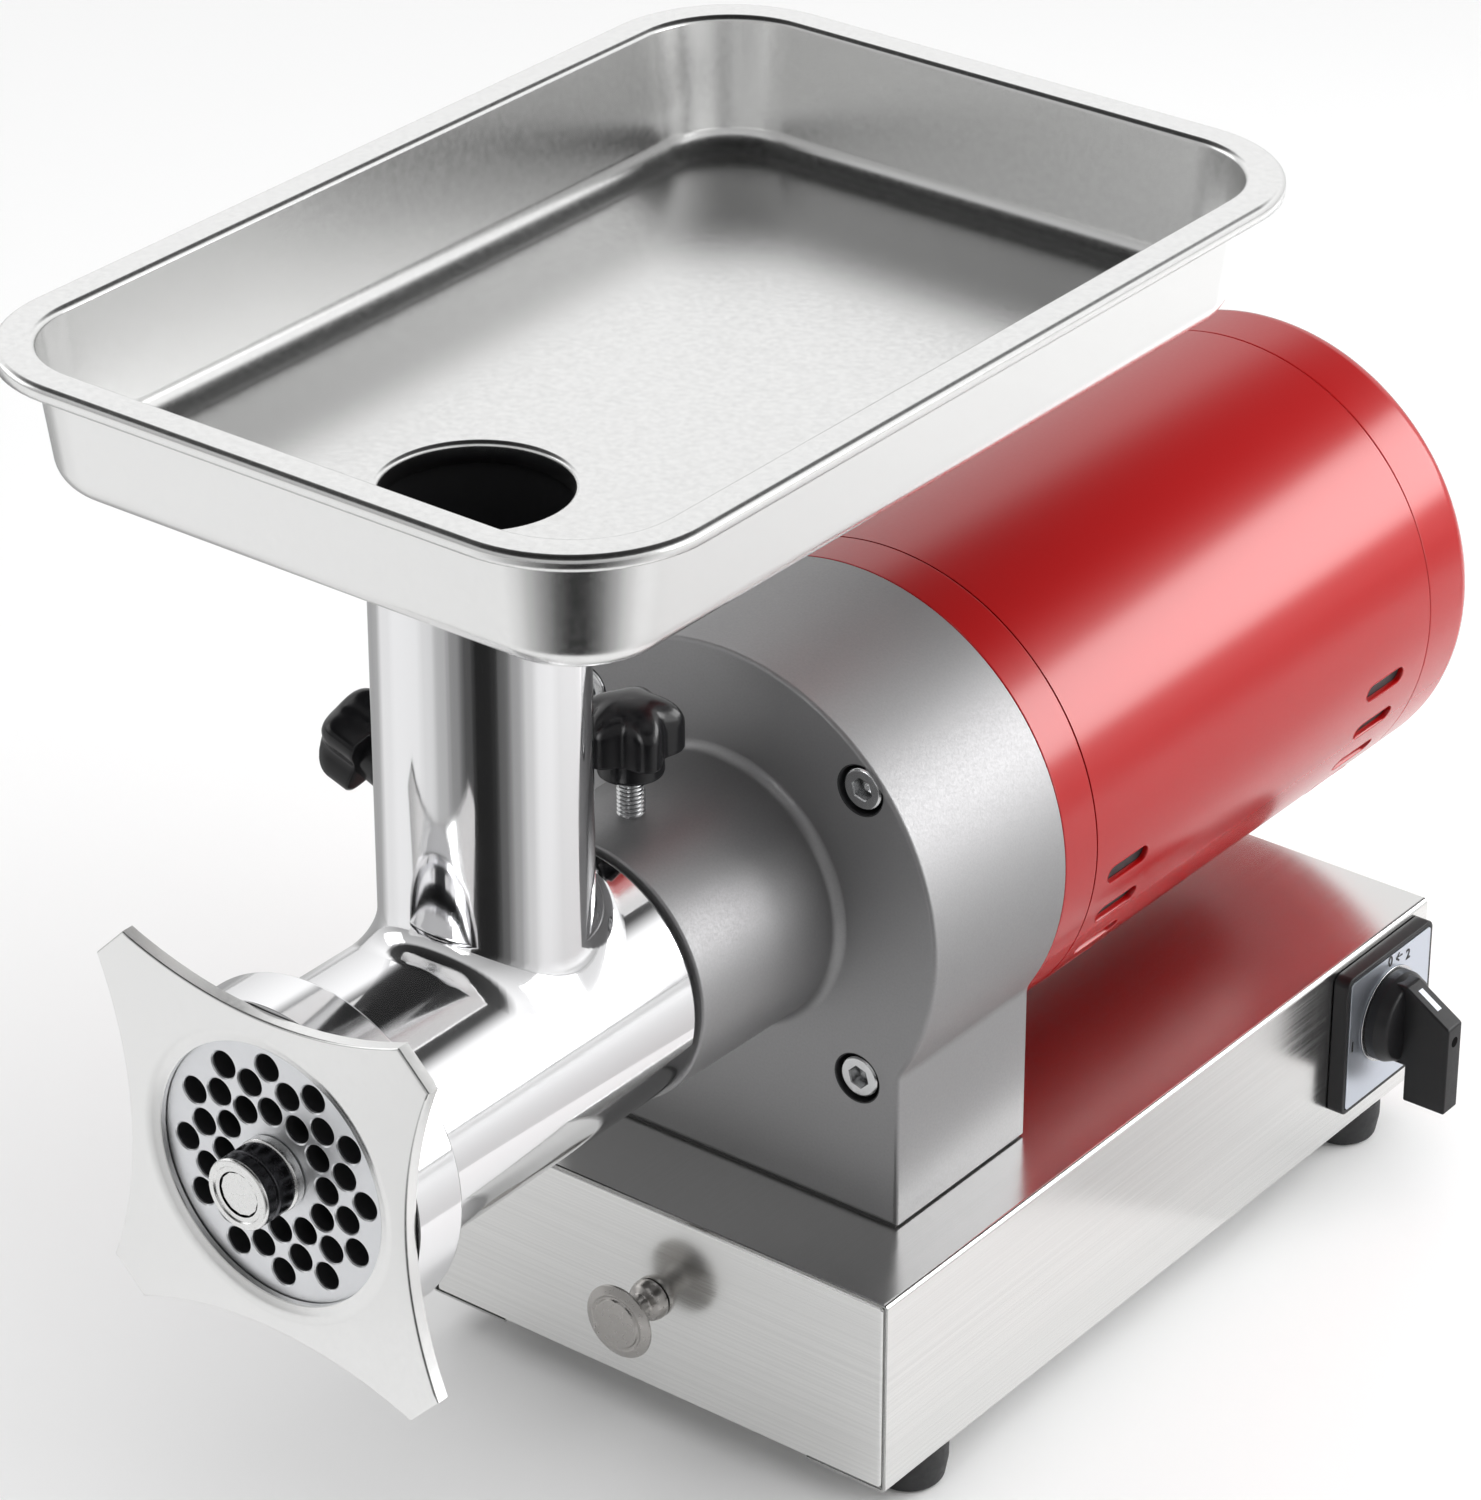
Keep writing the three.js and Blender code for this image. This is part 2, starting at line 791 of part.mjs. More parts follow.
// The gear chamber: round ends about both shafts
function chamberOutline(spread) {
  const radius = boreRadius(chamberRadius + spread, 2 * smallSteps);
  return polygon([
    ...arc(0, axisHeight, radius, 0, halfTurn, smallSteps),
    ...arc(0, counterHeight, radius, halfTurn, fullTurn, smallSteps),
  ]);
}

const boltPlaces = [[1, 1], [-1, 1], [-1, -1], [1, -1]].map(([x, y]) => [x * boltReachX, y * boltReachY]);
const boltNames = ['housing_bolt_upper_right', 'housing_bolt_upper_left',
  'housing_bolt_lower_left', 'housing_bolt_lower_right'];

function gearHousing() {
  const body = edgedPrism(housingOutline(), housingRear, housingFront, housingEdge);
  const rootFillet = Array.from({ length: filletSteps + 1 }, (_, i) => {
    const turn = i * quarterTurn / filletSteps;
    return [
      neckRootRadius + neckFillet * (1 - Math.sin(turn)),
      housingFront + neckFillet * (1 - Math.cos(turn)),
    ];
  });
  const neck = revolved([
    [0, bearingBossRear],
    [neckRootRadius + neckFillet, bearingBossRear],
    ...rootFillet,
    [neckFrontRadius, neckFront - neckEdge],
    [neckFrontRadius - neckEdge, neckFront],
    [0, neckFront],
  ], roundSteps).translate(0, axisHeight, 0);
  const bossTop = neckFrontRadius + sideBossReach;
  const sideBoss = turned([
    [0, spigotRadius],
    [sideBossRadius, spigotRadius],
    [sideBossRadius, bossTop - sideBossEdge],
    [sideBossRadius - sideBossEdge, bossTop],
    [0, bossTop],
  ], smallSteps).rotateZ(sideClampAngle).translate(0, axisHeight, clampStation);
  const bore = revolved([
    [0, bearingBossRear - cutOverrun],
    [boreRadius(spindleBearingRadius + fitGap, roundSteps), bearingBossRear - cutOverrun],
    [boreRadius(spindleBearingRadius + fitGap, roundSteps), sealFront + fitGap],
    [screwCollarRadius + fitGap, sealFront + fitGap],
    [screwCollarRadius + fitGap, spigotRear - fitGap],
    [spigotRadius + fitGap, spigotRear - fitGap],
    [spigotRadius + fitGap, neckFront + cutOverrun],
    [0, neckFront + cutOverrun],
  ], roundSteps).translate(0, axisHeight, 0);
  const counterBore = rod(
    boreRadius(counterBearingRadius + fitGap, smallSteps),
    bearingBossRear - cutOverrun,
    bearingBossRear + counterSeatDepth,
  ).translate(0, counterHeight, 0);
  const studHole = (angle, reach) => turned([
    [0, 0],
    [boreRadius(studRadius + fitGap, holeSteps), 0],
    [boreRadius(studRadius + fitGap, holeSteps), reach + cutOverrun],
    [0, reach + cutOverrun],
  ], holeSteps).rotateZ(angle).translate(0, axisHeight, clampStation);
  const boltHoles = boltPlaces.map(([x, y]) => revolved([
    [0, housingRear - cutOverrun],
    [boreRadius(boltRadius + fitGap, holeSteps), housingRear - cutOverrun],
    [boreRadius(boltRadius + fitGap, holeSteps), housingFront - boltPocketSink - boltHeadHeight],
    [boltPocketRadius, housingFront - boltPocketSink - boltHeadHeight],
    [boltPocketRadius, housingFront + cutOverrun],
    [0, housingFront + cutOverrun],
  ], holeSteps).translate(x, axisHeight + y, 0));
  return cut(
    join(body, neck, sideBoss),
    prism(chamberOutline(0), coverFront - cutOverrun, bearingBossRear),
    prism(chamberOutline(coverLedge), housingRear - cutOverrun, coverFront),
    bore,
    counterBore,
    studHole(0, neckFrontRadius),
    studHole(sideClampAngle, bossTop),
    ...boltHoles,
  );
}

function gearboxCover() {
  const bossFront = counterWheelRear - gearClearance;
  const pocketRear = bossFront - counterBearingWidth - fitGap;
  const boss = rod(counterBearingRadius + fitGap + counterBossWall, coverRear, bossFront);
  const pocketRadius = boreRadius(counterBearingRadius + fitGap, smallSteps);
  const pocket = rod(pocketRadius, pocketRear, bossFront + cutOverrun);
  const shaftPass = rod(shaftPassRadius, coverRear - cutOverrun, coverFront + cutOverrun);
  return cut(
    join(prism(chamberOutline(coverLedge - fitGap), coverRear, coverFront - fitGap),
      boss.translate(0, counterHeight, 0)),
    pocket.translate(0, counterHeight, 0),
    shaftPass.translate(0, axisHeight, 0),
  );
}

function housingBolt() {
  const headFront = housingFront - boltPocketSink;
  const seat = headFront - boltHeadHeight + fitGap;
  const tip = housingRear - boltThread;
  const edge = fitGap;
  const blank = revolved([
    [0, tip],
    [boltRadius, tip],
    [boltRadius, seat],
    [boltHeadRadius, seat],
    [boltHeadRadius, headFront - edge],
    [boltHeadRadius - edge, headFront],
    [0, headFront],
  ], holeSteps);
  const key = hexagon(hexKeyShare * boltHeadRadius);
  return cut(blank, prism(key, headFront - hexKeyDepth, headFront + cutOverrun));
}

function pedestalGasket() {
  const half = pedestalHalfWidth - gasketInset;
  const ring = rectangle(-half, half, housingSetback + gasketInset, -housingRear - gasketInset);
  return slab(ring, baseTop + gasketGap, baseTop + gasketGap + gasketThickness);
}

piece(driveline, 'gear_housing', gearHousing(), castSilver);
piece(driveline, 'gearbox_cover', gearboxCover(), castSilver);
piece(driveline, 'pedestal_gasket', pedestalGasket(), gasketPaper);
boltPlaces.forEach(([x, y], i) => {
  piece(driveline, boltNames[i], housingBolt(), zincSteel).position.set(x, axisHeight + y, 0);
});

// Gears: involute flanks through the root, pitch and tip circles, and nearly straight ones on the wheels

function gearOutline(teeth, phase) {
  const pitch = gearModule * teeth / 2;
  const base = pitch * Math.cos(pressureAngle);
  const involute = (angle) => Math.tan(angle) - angle;
  const pitchHalf = (gearModule * halfTurn / 2 - toothBacklash) / (2 * pitch);
  const halfTooth = (radius) => {
    const angle = Math.acos(Math.min(1, base / radius));
    return pitchHalf + involute(pressureAngle) - involute(angle);
  };
  const root = gearModule * (teeth / 2 - dedendumShare);
  const tip = gearModule * (teeth / 2 + addendumShare);
  const radii = teeth === wheelTeeth ? [root, tip] : [root, pitch, tip];
  const points = [];
  for (let tooth = 0; tooth < teeth; tooth += 1) {
    const middle = phase + tooth * fullTurn / teeth;
    for (const radius of radii) {
      const angle = middle - halfTooth(radius);
      points.push([radius * Math.cos(angle), radius * Math.sin(angle)]);
    }
    for (const radius of [...radii].reverse()) {
      const angle = middle + halfTooth(radius);
      points.push([radius * Math.cos(angle), radius * Math.sin(angle)]);
    }
  }
  return polygon(points);
}

function gearWheel(bore, from, to, phase) {
  const rimRadius = wheelRimShare * gearModule * wheelTeeth / 2;
  const hubRadius = wheelHubShare * gearModule * wheelTeeth / 2;
  const recess = (1 - wheelWebShare) * (to - from) / 2;
  return cut(
    prism(gearOutline(wheelTeeth, phase), from, to),
    tube(hubRadius, rimRadius, to - recess, to + cutOverrun, smallSteps),
    tube(hubRadius, rimRadius, from - cutOverrun, from + recess, smallSteps),
    rod(bore, from - cutOverrun, to + cutOverrun),
  );
}

const squareBar = (size, from, to) => prism(rectangle(-size / 2, size / 2, -size / 2, size / 2), from, to);

function bearing(shaft, outer, from, to) {
  return tube(boreRadius(shaft + fitGap, smallSteps), outer, from, to, smallSteps);
}

function spindleSeal() {
  return revolved([
    [boreRadius(spindleRadius + fitGap, smallSteps), sealFront - spindleSealWidth],
    [spindleBearingRadius, sealFront - spindleSealWidth],
    [spindleBearingRadius, sealFront],
    [sealLipRadius, sealFront],
  ], smallSteps);
}

function outputSpindle() {
  const rear = outputWheelRear - spindleNose;
  return cut(
    rod(spindleRadius, rear, sealFront + spindleNose),
    squareBar(driveSquare + 2 * fitGap, screwTail - cutOverrun, sealFront + spindleNose + cutOverrun),
  );
}

function counterShaft() {
  const teeth = gearOutline(pinionTeeth, quarterTurn);
  const pinion = prism(teeth, outputWheelRear - pinionExtra, outputWheelFront);
  const shoulder = counterWheelRear - fitGap;
  const front = bearingBossRear + counterBearingWidth;
  const rear = counterWheelRear - gearClearance - counterBearingWidth;
  const shaft = revolved([
    [0, rear],
    [counterJournalRadius, rear],
    [counterJournalRadius, shoulder],
    [counterBodyRadius, shoulder],
    [counterBodyRadius, outputWheelFront],
    [counterJournalRadius, outputWheelFront],
    [counterJournalRadius, front],
    [0, front],
  ], smallSteps);
  return join(pinion, shaft);
}

for (const [name, front] of [
  ['spindle_bearing_front', frontBearing],
  ['spindle_bearing_rear', rearBearing],
]) {
  piece(feedLine, name,
    bearing(spindleRadius, spindleBearingRadius, front - spindleBearingWidth, front), gearSteel);
}
piece(feedLine, 'spindle_seal', spindleSeal(), blackRubber);
piece(feedLine, 'output_spindle', outputSpindle(), gearSteel);
piece(feedLine, 'output_gear',
  gearWheel(spindleRadius + fitGap, outputWheelRear, outputWheelFront, -quarterTurn + halfTurn / wheelTeeth),
  gearSteel);
piece(counterLine, 'countershaft', counterShaft(), gearSteel);
piece(counterLine, 'intermediate_gear',
  gearWheel(counterBodyRadius + fitGap, counterWheelRear, counterWheelFront, quarterTurn), gearSteel);
for (const [name, from] of [
  ['countershaft_bearing_front', bearingBossRear],
  ['countershaft_bearing_rear', counterWheelRear - gearClearance - counterBearingWidth],
]) {
  piece(counterLine, name,
    bearing(counterJournalRadius, counterBearingRadius, from, from + counterBearingWidth), gearSteel);
}

// Motor

const frontBearingSeat = frontBellFront - 2 * fitGap;
const rearBearingSeat = shellRear + bellSpigot;
const motorBore = boreRadius(motorBearingRadius + fitGap, motorSteps);

function motorFrontBell() {
  const inner = motorRadius - motorWall - fitGap;
  const body = revolved([
    [shaftPassRadius, frontBellFront],
    [motorRadius, frontBellFront],
    [motorRadius, shellFront + seamGap],
    [inner, shellFront + seamGap],
    [inner, shellFront - bellSpigot],
    [frontBellRing, shellFront - bellSpigot],
    [frontBellRing, frontBellFront - frontBellDisc],
    [motorBore, frontBellFront - frontBellDisc],
    [motorBore, frontBearingSeat + fitGap],
    [shaftPassRadius, frontBearingSeat + fitGap],
  ], motorSteps);
  const holeRadius = boreRadius(boltRadius + fitGap, holeSteps);
  const holes = boltPlaces.map(([x, y]) => (
    rod(holeRadius, housingRear - boltThread - fitGap, housingRear, holeSteps).translate(x, y, 0)));
  return cut(body, ...holes);
}

function ventSlots() {
  const straight = (ventLength - ventWidth) / 2;
  const slot = polygon([
    ...arc(0, straight, ventWidth / 2, 0, halfTurn, cornerSteps),
    ...arc(0, -straight, ventWidth / 2, halfTurn, fullTurn, cornerSteps),
  ]);
  const rows = [
    shellFront - ventFrontInset - ventLength / 2,
    shellRear + ventRearInset + ventLength / 2,
  ];
  const slots = [];
  for (const station of rows) {
    for (let i = 0; i < ventCount; i += 1) {
      for (const side of [-1, 1]) {
        const turn = ventFirstAngle + i * ventStepAngle - quarterTurn;
        slots.push(prism(slot, motorRadius - motorWall - cutOverrun, motorRadius + cutOverrun)
          .rotateX(-quarterTurn)
          .rotateZ(side * turn)
          .translate(0, 0, station));
      }
    }
  }
  return slots;
}

function motorShell() {
  const inner = motorRadius - motorWall;
  return cut(tube(inner, motorRadius, shellRear, shellFront, motorSteps), ...ventSlots());
}

function motorRearBell() {
  const spigot = motorRadius - motorWall - fitGap;
  const inner = spigot - motorWall;
  const face = rearBellRear;
  const turnIn = rearBellEdge;
  const edge = arc(motorRadius - turnIn, face + turnIn, turnIn, -quarterTurn, 0, filletSteps);
  return revolved([
    [0, face],
    ...edge,
    [motorRadius, shellRear - seamGap],
    [spigot, shellRear - seamGap],
    [spigot, shellRear + bellSpigot],
    [inner, shellRear + bellSpigot],
    [inner, face + rearBellEdge],
    [motorBore + bellBossWall, face + rearBellEdge],
    [motorBore + bellBossWall, rearBearingSeat],
    [motorBore, rearBearingSeat],
    [motorBore, rearBearingSeat - motorBearingWidth - fitGap],
    [0, rearBearingSeat - motorBearingWidth - fitGap],
  ], motorSteps);
}

function stator() {
  return tube(statorBoreRadius, motorRadius - motorWall - fitGap, statorRear, statorFront, motorSteps);
}

function winding(from, to) {
  const slope = windingRadius / 2;
  return revolved([
    [windingMeanRadius - windingRadius, from],
    [windingMeanRadius + windingRadius, from],
    [windingMeanRadius + windingRadius - slope, to],
    [windingMeanRadius - windingRadius, to],
  ], smallSteps);
}

function rotorShaft() {
  const front = counterWheelFront + pinionExtra;
  const pinionRear = counterWheelRear - pinionExtra;
  const rear = rearBearingSeat - motorBearingWidth;
  const pinion = prism(gearOutline(pinionTeeth, -quarterTurn + halfTurn / pinionTeeth), pinionRear, front);
  return join(pinion, rod(motorShaftRadius, rear, pinionRear + cutOverrun));
}

function rotorCore() {
  const radius = statorBoreRadius - rotorAirGap;
  return tube(motorShaftRadius + fitGap, radius, statorRear, statorFront, smallSteps);
}

function coolingFan() {
  const front = shellRear + fanInset;
  const rear = front - fanWidth;
  const disc = tube(motorShaftRadius + fitGap, fanRadius, front - fanDisc, front, smallSteps);
  const hub = tube(motorShaftRadius + fitGap, fanHubRadius, rear, front, smallSteps);
  const blade = rectangle(
    fanHubRadius - fanBladeThickness, fanRadius, -fanBladeThickness / 2, fanBladeThickness / 2);
  const blades = Array.from({ length: fanBlades }, (_, i) => (
    prism(blade, rear, front - fanDisc / 2).rotateZ(i * fullTurn / fanBlades)));
  return join(disc, hub, ...blades);
}

piece(motorLine, 'motor_front_bell', motorFrontBell(), redPaint);
piece(motorLine, 'motor_shell', motorShell(), redPaint);
piece(motorLine, 'motor_rear_bell', motorRearBell(), redPaint);
piece(motorLine, 'stator_core', stator(), darkSteel);
piece(motorLine, 'winding_front', winding(statorFront + fitGap, statorFront + windingReach), copper);
piece(motorLine, 'winding_rear', winding(statorRear - fitGap, statorRear - windingReach), copper);
for (const [name, front] of [
  ['motor_bearing_front', frontBearingSeat],
  ['motor_bearing_rear', rearBearingSeat],
]) {
  piece(motorLine, name,
    bearing(motorShaftRadius, motorBearingRadius, front - motorBearingWidth, front), gearSteel);
}
piece(motorLine, 'rotor_shaft', rotorShaft(), gearSteel);
piece(motorLine, 'rotor_core', rotorCore(), darkSteel);
piece(motorLine, 'cooling_fan', coolingFan(), whitePlastic);

// Head: barrel with the feed tube growing out of it

const barrelWallFront = barrelRear + barrelRearWall;
const plateSeat = headFront - plateSeatDepth;

function keyCut(from, to) {
  return rod(boreRadius(keyRadius + fitGap, holeSteps), from, to, holeSteps).translate(0, -plateRadius, 0);
}

function grinderHead() {
  const barrel = revolved([
    [0, spigotRear],
    [spigotRadius - spigotEdge, spigotRear],
    [spigotRadius, spigotRear + spigotEdge],
    [spigotRadius, barrelRear],
    [barrelRadius - barrelEdge, barrelRear],
    [barrelRadius, barrelRear + barrelEdge],
    [barrelRadius, headFront - headThreadLength - headFlareLength],
    [headThreadRadius, headFront - headThreadLength],
    [headThreadRadius, headFront],
    [0, headFront],
  ], roundSteps);
  const tubeHeight = tubeTop - axisHeight;
  const tubeLoop = (radius, heightAt) => arc(0, 0, radius, 0, fullTurn, roundSteps)
    .slice(1)
    .map(([x, z]) => new THREE.Vector3(x, heightAt(x), z));
  const flare = arc(
    tubeRadius + tubeFootFlare, tubeFootFlare, tubeFootFlare, halfTurn + quarterTurn, halfTurn, filletSteps);
  const flareLoop = ([radius, rise]) => (
    tubeLoop(radius, (x) => rise - tubeFootSink + Math.sqrt(barrelRadius ** 2 - x ** 2)));
  const tubeBody = lofted([
    tubeLoop(tubeRadius, () => 0),
    ...flare.map(flareLoop),
    tubeLoop(tubeRadius, () => tubeHeight),
  ]).translate(0, 0, tubeSetForward);
  const tubeBore = turned([
    [0, 0],
    [tubeRadius - tubeWall, 0],
    [tubeRadius - tubeWall, tubeHeight + cutOverrun],
    [0, tubeHeight + cutOverrun],
  ], roundSteps).translate(0, 0, tubeSetForward);
  const bush = boreRadius(bushRadius, roundSteps);
  const bore = revolved([
    [0, spigotRear - cutOverrun],
    [bush, spigotRear - cutOverrun],
    [bush, barrelWallFront],
    [barrelBore, barrelWallFront],
    [barrelBore, knifeChamberRear - (knifeChamberRadius - barrelBore)],
    [knifeChamberRadius, knifeChamberRear],
    [knifeChamberRadius, plateSeat],
    [plateRadius + fitGap, plateSeat],
    [plateRadius + fitGap, headFront + cutOverrun],
    [0, headFront + cutOverrun],
  ], roundSteps);
  return cut(join(barrel, tubeBody), tubeBore, bore, keyCut(headFront - keyLength, headFront + cutOverrun));
}

piece(feedLine, 'grinder_head', grinderHead(), polishedSteel);

// Grinding plate with its centre bushing and key

function grindingPlate() {
  const disc = circle(plateRadius, roundSteps);
  plateRingRadii.forEach((radius, ring) => {
    for (let i = 0; i < plateRingCount; i += 1) {
      const angle = platePhase + (i + (ring % 2) / 2) * fullTurn / plateRingCount;
      const place = [radius * Math.cos(angle), radius * Math.sin(angle)];
      disc.holes.push(circle(plateHoleRadius, holeSteps, ...place));
    }
  });
  disc.holes.push(circle(boreRadius(plateCentreRadius + fitGap, smallSteps), smallSteps));
  return cut(prism(disc, plateRear, plateFront), keyCut(plateRear - cutOverrun, plateFront + cutOverrun));
}

function plateBushing() {
  const groove = bushingFront - bushingGrooveSetback;
  return revolved([
    [bushingBore, plateRear],
    [plateCentreRadius, plateRear],
    [plateCentreRadius, plateFront + fitGap],
    [bushingRadius, plateFront + fitGap],
    [bushingRadius, groove - bushingGrooveWidth],
    [bushingRadius - bushingGroove, groove - bushingGrooveWidth],
    [bushingRadius - bushingGroove, groove],
    [bushingRadius, groove],
    [bushingRadius, bushingFront - bushingEdge],
    [bushingRadius - bushingEdge, bushingFront],
    [bushingBore, bushingFront],
  ], smallSteps);
}

piece(feedLine, 'grinding_plate', grindingPlate(), plateSteel);
piece(feedLine, 'plate_bushing', plateBushing(), darkSteel);
piece(feedLine, 'plate_key', rod(keyRadius, headFront - keyLength + fitGap, headFront, holeSteps), zincSteel)
  .position.y = -plateRadius;

// Ring nut: threaded collar behind a square flange with hollow sides

function flangeOutline() {
  const sag = flangeHollow;
  const reach = (flangeCorner ** 2 + sag ** 2) / (2 * sag);
  const half = Math.asin(flangeCorner / reach);
  const shape = new THREE.Shape();
  const centre = flangeHalf + reach - sag;
  for (const out of [0, quarterTurn, halfTurn, -quarterTurn]) {
    const back = out + halfTurn;
    shape.absarc(centre * Math.cos(out), centre * Math.sin(out), reach, back + half, back - half, true);
  }
  return shape.closePath();
}

function ringNutFlange() {
  return cut(
    edgedPrism(flangeOutline(), flangeRear, flangeFront, flangeEdge, flangeSideSteps),
    revolved([
      [0, flangeRear - cutOverrun],
      [collarBore, flangeRear - cutOverrun],
      [collarBore, flangeRear + flangeRelief],
      [flangeOpening, flangeRear + flangeRelief],
      [flangeOpening, flangeFront - flangeDish],
      [flangeOpening + flangeDishWidth, flangeFront],
      [flangeOpening + flangeDishWidth, flangeFront + cutOverrun],
      [0, flangeFront + cutOverrun],
    ], roundSteps),
  );
}

function ringNutCollar() {
  const front = flangeRear - fitGap;
  const rear = front - collarLength;
  return revolved([
    [collarBore, rear],
    [collarRadius - collarEdge, rear],
    [collarRadius, rear + collarEdge],
    [collarRadius, front],
    [collarBore, front],
  ], roundSteps);
}

piece(feedLine, 'ring_nut_flange', ringNutFlange(), satinSteel);
piece(feedLine, 'ring_nut_collar', ringNutCollar(), polishedSteel);

// Feed screw: a core with one flight whose pitch closes up towards the plate

function feedScrew() {
  const rear = barrelWallFront + fitGap;
  const front = knifeChamberRear - fitGap;
  const tip = barrelBore - screwClearance;
  const loops = [];
  for (let ring = 0; ring <= screwRings; ring += 1) {
    const along = ring / screwRings;
    const turn = -fullTurn * screwTurns * along * (1 - pitchGrowthShare * (1 - along));
    const root = screwRootRear + (screwRootFront - screwRootRear) * along;
    const station = rear + (front - rear) * along;
    loops.push(Array.from({ length: screwRingPoints }, (_, i) => {
      const around = i / screwRingPoints;
      const away = Math.min(around, 1 - around);
      const flank = (flightShare / 2 + flightFlankShare - away) / flightFlankShare;
      const rise = THREE.MathUtils.clamp(flank, 0, 1);
      const radius = root + (tip - root) * rise;
      const angle = turn + around * fullTurn;
      return new THREE.Vector3(radius * Math.cos(angle), radius * Math.sin(angle), station);
    }));
  }
  return join(
    lofted(loops),
    rod(screwCollarRadius, rear, rear + screwCollarLength),
    rod(screwJournalRadius, spigotRear + fitGap, rear + screwCollarLength),
    squareBar(driveSquare, screwTail, rear),
    squareBar(knifeSquare, front - screwCollarLength, plateRear - fitGap),
    rod(screwPinRadius, front, bushingFront - screwPinSink),
  );
}

function cuttingKnife() {
  const from = plateRear - fitGap - knifeThickness;
  const to = plateRear - fitGap;
  const blade = polygon([
    [0, -knifeBladeWidth / 2],
    [knifeReach, knifeTipWidth / 2 - knifeTipWidth],
    [knifeReach, knifeTipWidth / 2],
    [0, knifeBladeWidth / 2],
  ]);
  const blades = Array.from({ length: knifeBlades }, (_, i) => (
    prism(blade, from, to).rotateZ(i * fullTurn / knifeBlades)));
  return cut(
    join(rod(knifeHubRadius, from, to), ...blades),
    squareBar(knifeSquare + 2 * fitGap, from - cutOverrun, to + cutOverrun),
  );
}

piece(feedLine, 'feed_screw', feedScrew(), satinSteel);
piece(feedLine, 'cutting_knife', cuttingKnife(), gearSteel);

// Tray: a drawn pan with a flat rim, a rolled edge and a collar that drops into the feed tube

function trayLoop([inset, height]) {
  const radius = trayCorner - inset;
  const x = trayHalfWidth - trayCorner;
  const corners = [[x, -trayBack + trayCorner], [-x, -trayBack + trayCorner],
    [-x, trayFront - trayCorner], [x, trayFront - trayCorner]];
  return corners.flatMap(([centreX, centreZ], quarter) => (
    arc(centreX, -centreZ, radius, quarter * quarterTurn, (quarter + 1) * quarterTurn, trayCornerSteps)
      .map(([px, pz]) => new THREE.Vector3(px, height, -pz))));
}

// One skin of the wall from the floor up to the rim, as [inset, height] pairs
function traySkin(lift) {
  const low = trayBottomFillet - lift;
  const high = trayRimFillet + lift;
  const floorLevel = trayFloor - traySheet + lift;
  const rimLevel = trayRimTop - traySheet + lift;
  const wallLow = trayRim + trayDraft - traySheet + lift;
  const wallHigh = trayRim - traySheet + lift;
  return [
    ...arc(wallLow + low, floorLevel + low, low, -quarterTurn, -halfTurn, filletSteps),
    ...arc(wallHigh - high, rimLevel - high, high, 0, quarterTurn, cornerSteps),
  ];
}

function trayPan() {
  const edge = [
    [traySheet, trayRimTop - traySheet],
    [traySheet, trayRimTop - trayRimRoll],
    [0, trayRimTop - trayRimRoll],
    ...arc(trayRimFillet, trayRimTop - trayRimFillet, trayRimFillet, halfTurn, quarterTurn, cornerSteps),
  ];
  const section = [...traySkin(0), ...edge, ...traySkin(traySheet).reverse()];
  return lofted(section.map(trayLoop));
}

function tray() {
  const low = trayFloor - traySheet;
  const outer = trayHoleRadius + traySheet;
  const collar = turned([
    [trayHoleRadius, low - trayCollarReach],
    [outer, low - trayCollarReach],
    [outer, trayFloor],
    [trayHoleRadius + trayLipEdge, trayFloor],
    [trayHoleRadius, trayFloor - trayLipEdge],
  ], roundSteps).translate(0, 0, tubeSetForward);
  const hole = turned([
    [0, low - cutOverrun],
    [outer - traySheet / 2, low - cutOverrun],
    [outer - traySheet / 2, trayFloor + cutOverrun],
    [0, trayFloor + cutOverrun],
  ], roundSteps).translate(0, 0, tubeSetForward);
  return join(cut(trayPan(), hole), collar);
}

piece(driveline, 'tray', tray(), satinSteel);

// Clamp screws: a steel stud with a moulded star grip

function starLoop(scale, height) {
  return Array.from({ length: gripSteps }, (_, i) => {
    const angle = i * fullTurn / gripSteps;
    const radius = scale * (gripLobeMean + gripLobeWave * Math.cos(gripLobes * angle));
    return new THREE.Vector3(radius * Math.cos(angle), height, -radius * Math.sin(angle));
  });
}

function starGrip() {
  const full = gripLobeMean + gripLobeWave;
  const low = gripHubHeight;
  const high = gripHubHeight + gripHeight;
  const star = lofted([
    starLoop((full - gripEdge) / full, low),
    starLoop(1, low + gripEdge),
    starLoop(1, high - gripDome),
    starLoop((full - gripEdge) / full, high - gripDome + gripEdge),
    starLoop(gripHubRadius / full, high),
  ]);
  const hub = turned([
    [0, 0],
    [gripHubRadius - gripEdge, 0],
    [gripHubRadius, gripEdge],
    [gripHubRadius, low + gripEdge],
    [0, low + gripEdge],
  ], smallSteps);
  const socket = turned([
    [0, -cutOverrun],
    [boreRadius(studRadius + fitGap, holeSteps), -cutOverrun],
    [boreRadius(studRadius + fitGap, holeSteps), studEmbed + fitGap],
    [0, studEmbed + fitGap],
  ], holeSteps);
  return cut(join(star, hub), socket);
}

function clampScrew(prefix, angle, surface, exposed) {
  const group = new THREE.Group();
  group.position.z = clampStation;
  group.rotation.z = angle;
  feedLine.add(group);
  const gripFoot = surface + exposed;
  const tip = spigotRadius + fitGap;
  const stud = turned([
    [0, tip],
    [studRadius - barrelEdge, tip],
    [studRadius, tip + barrelEdge],
    [studRadius, gripFoot + studEmbed],
    [0, gripFoot + studEmbed],
  ], holeSteps);
  piece(group, `${prefix}_clamp_stud`, stud, zincSteel);
  piece(group, `${prefix}_clamp_grip`, starGrip(), blackPlastic).position.y = gripFoot;
}

clampScrew('top', 0, neckFrontRadius, studExposed);
clampScrew('side', sideClampAngle, neckFrontRadius + sideBossReach, sideStudExposed);

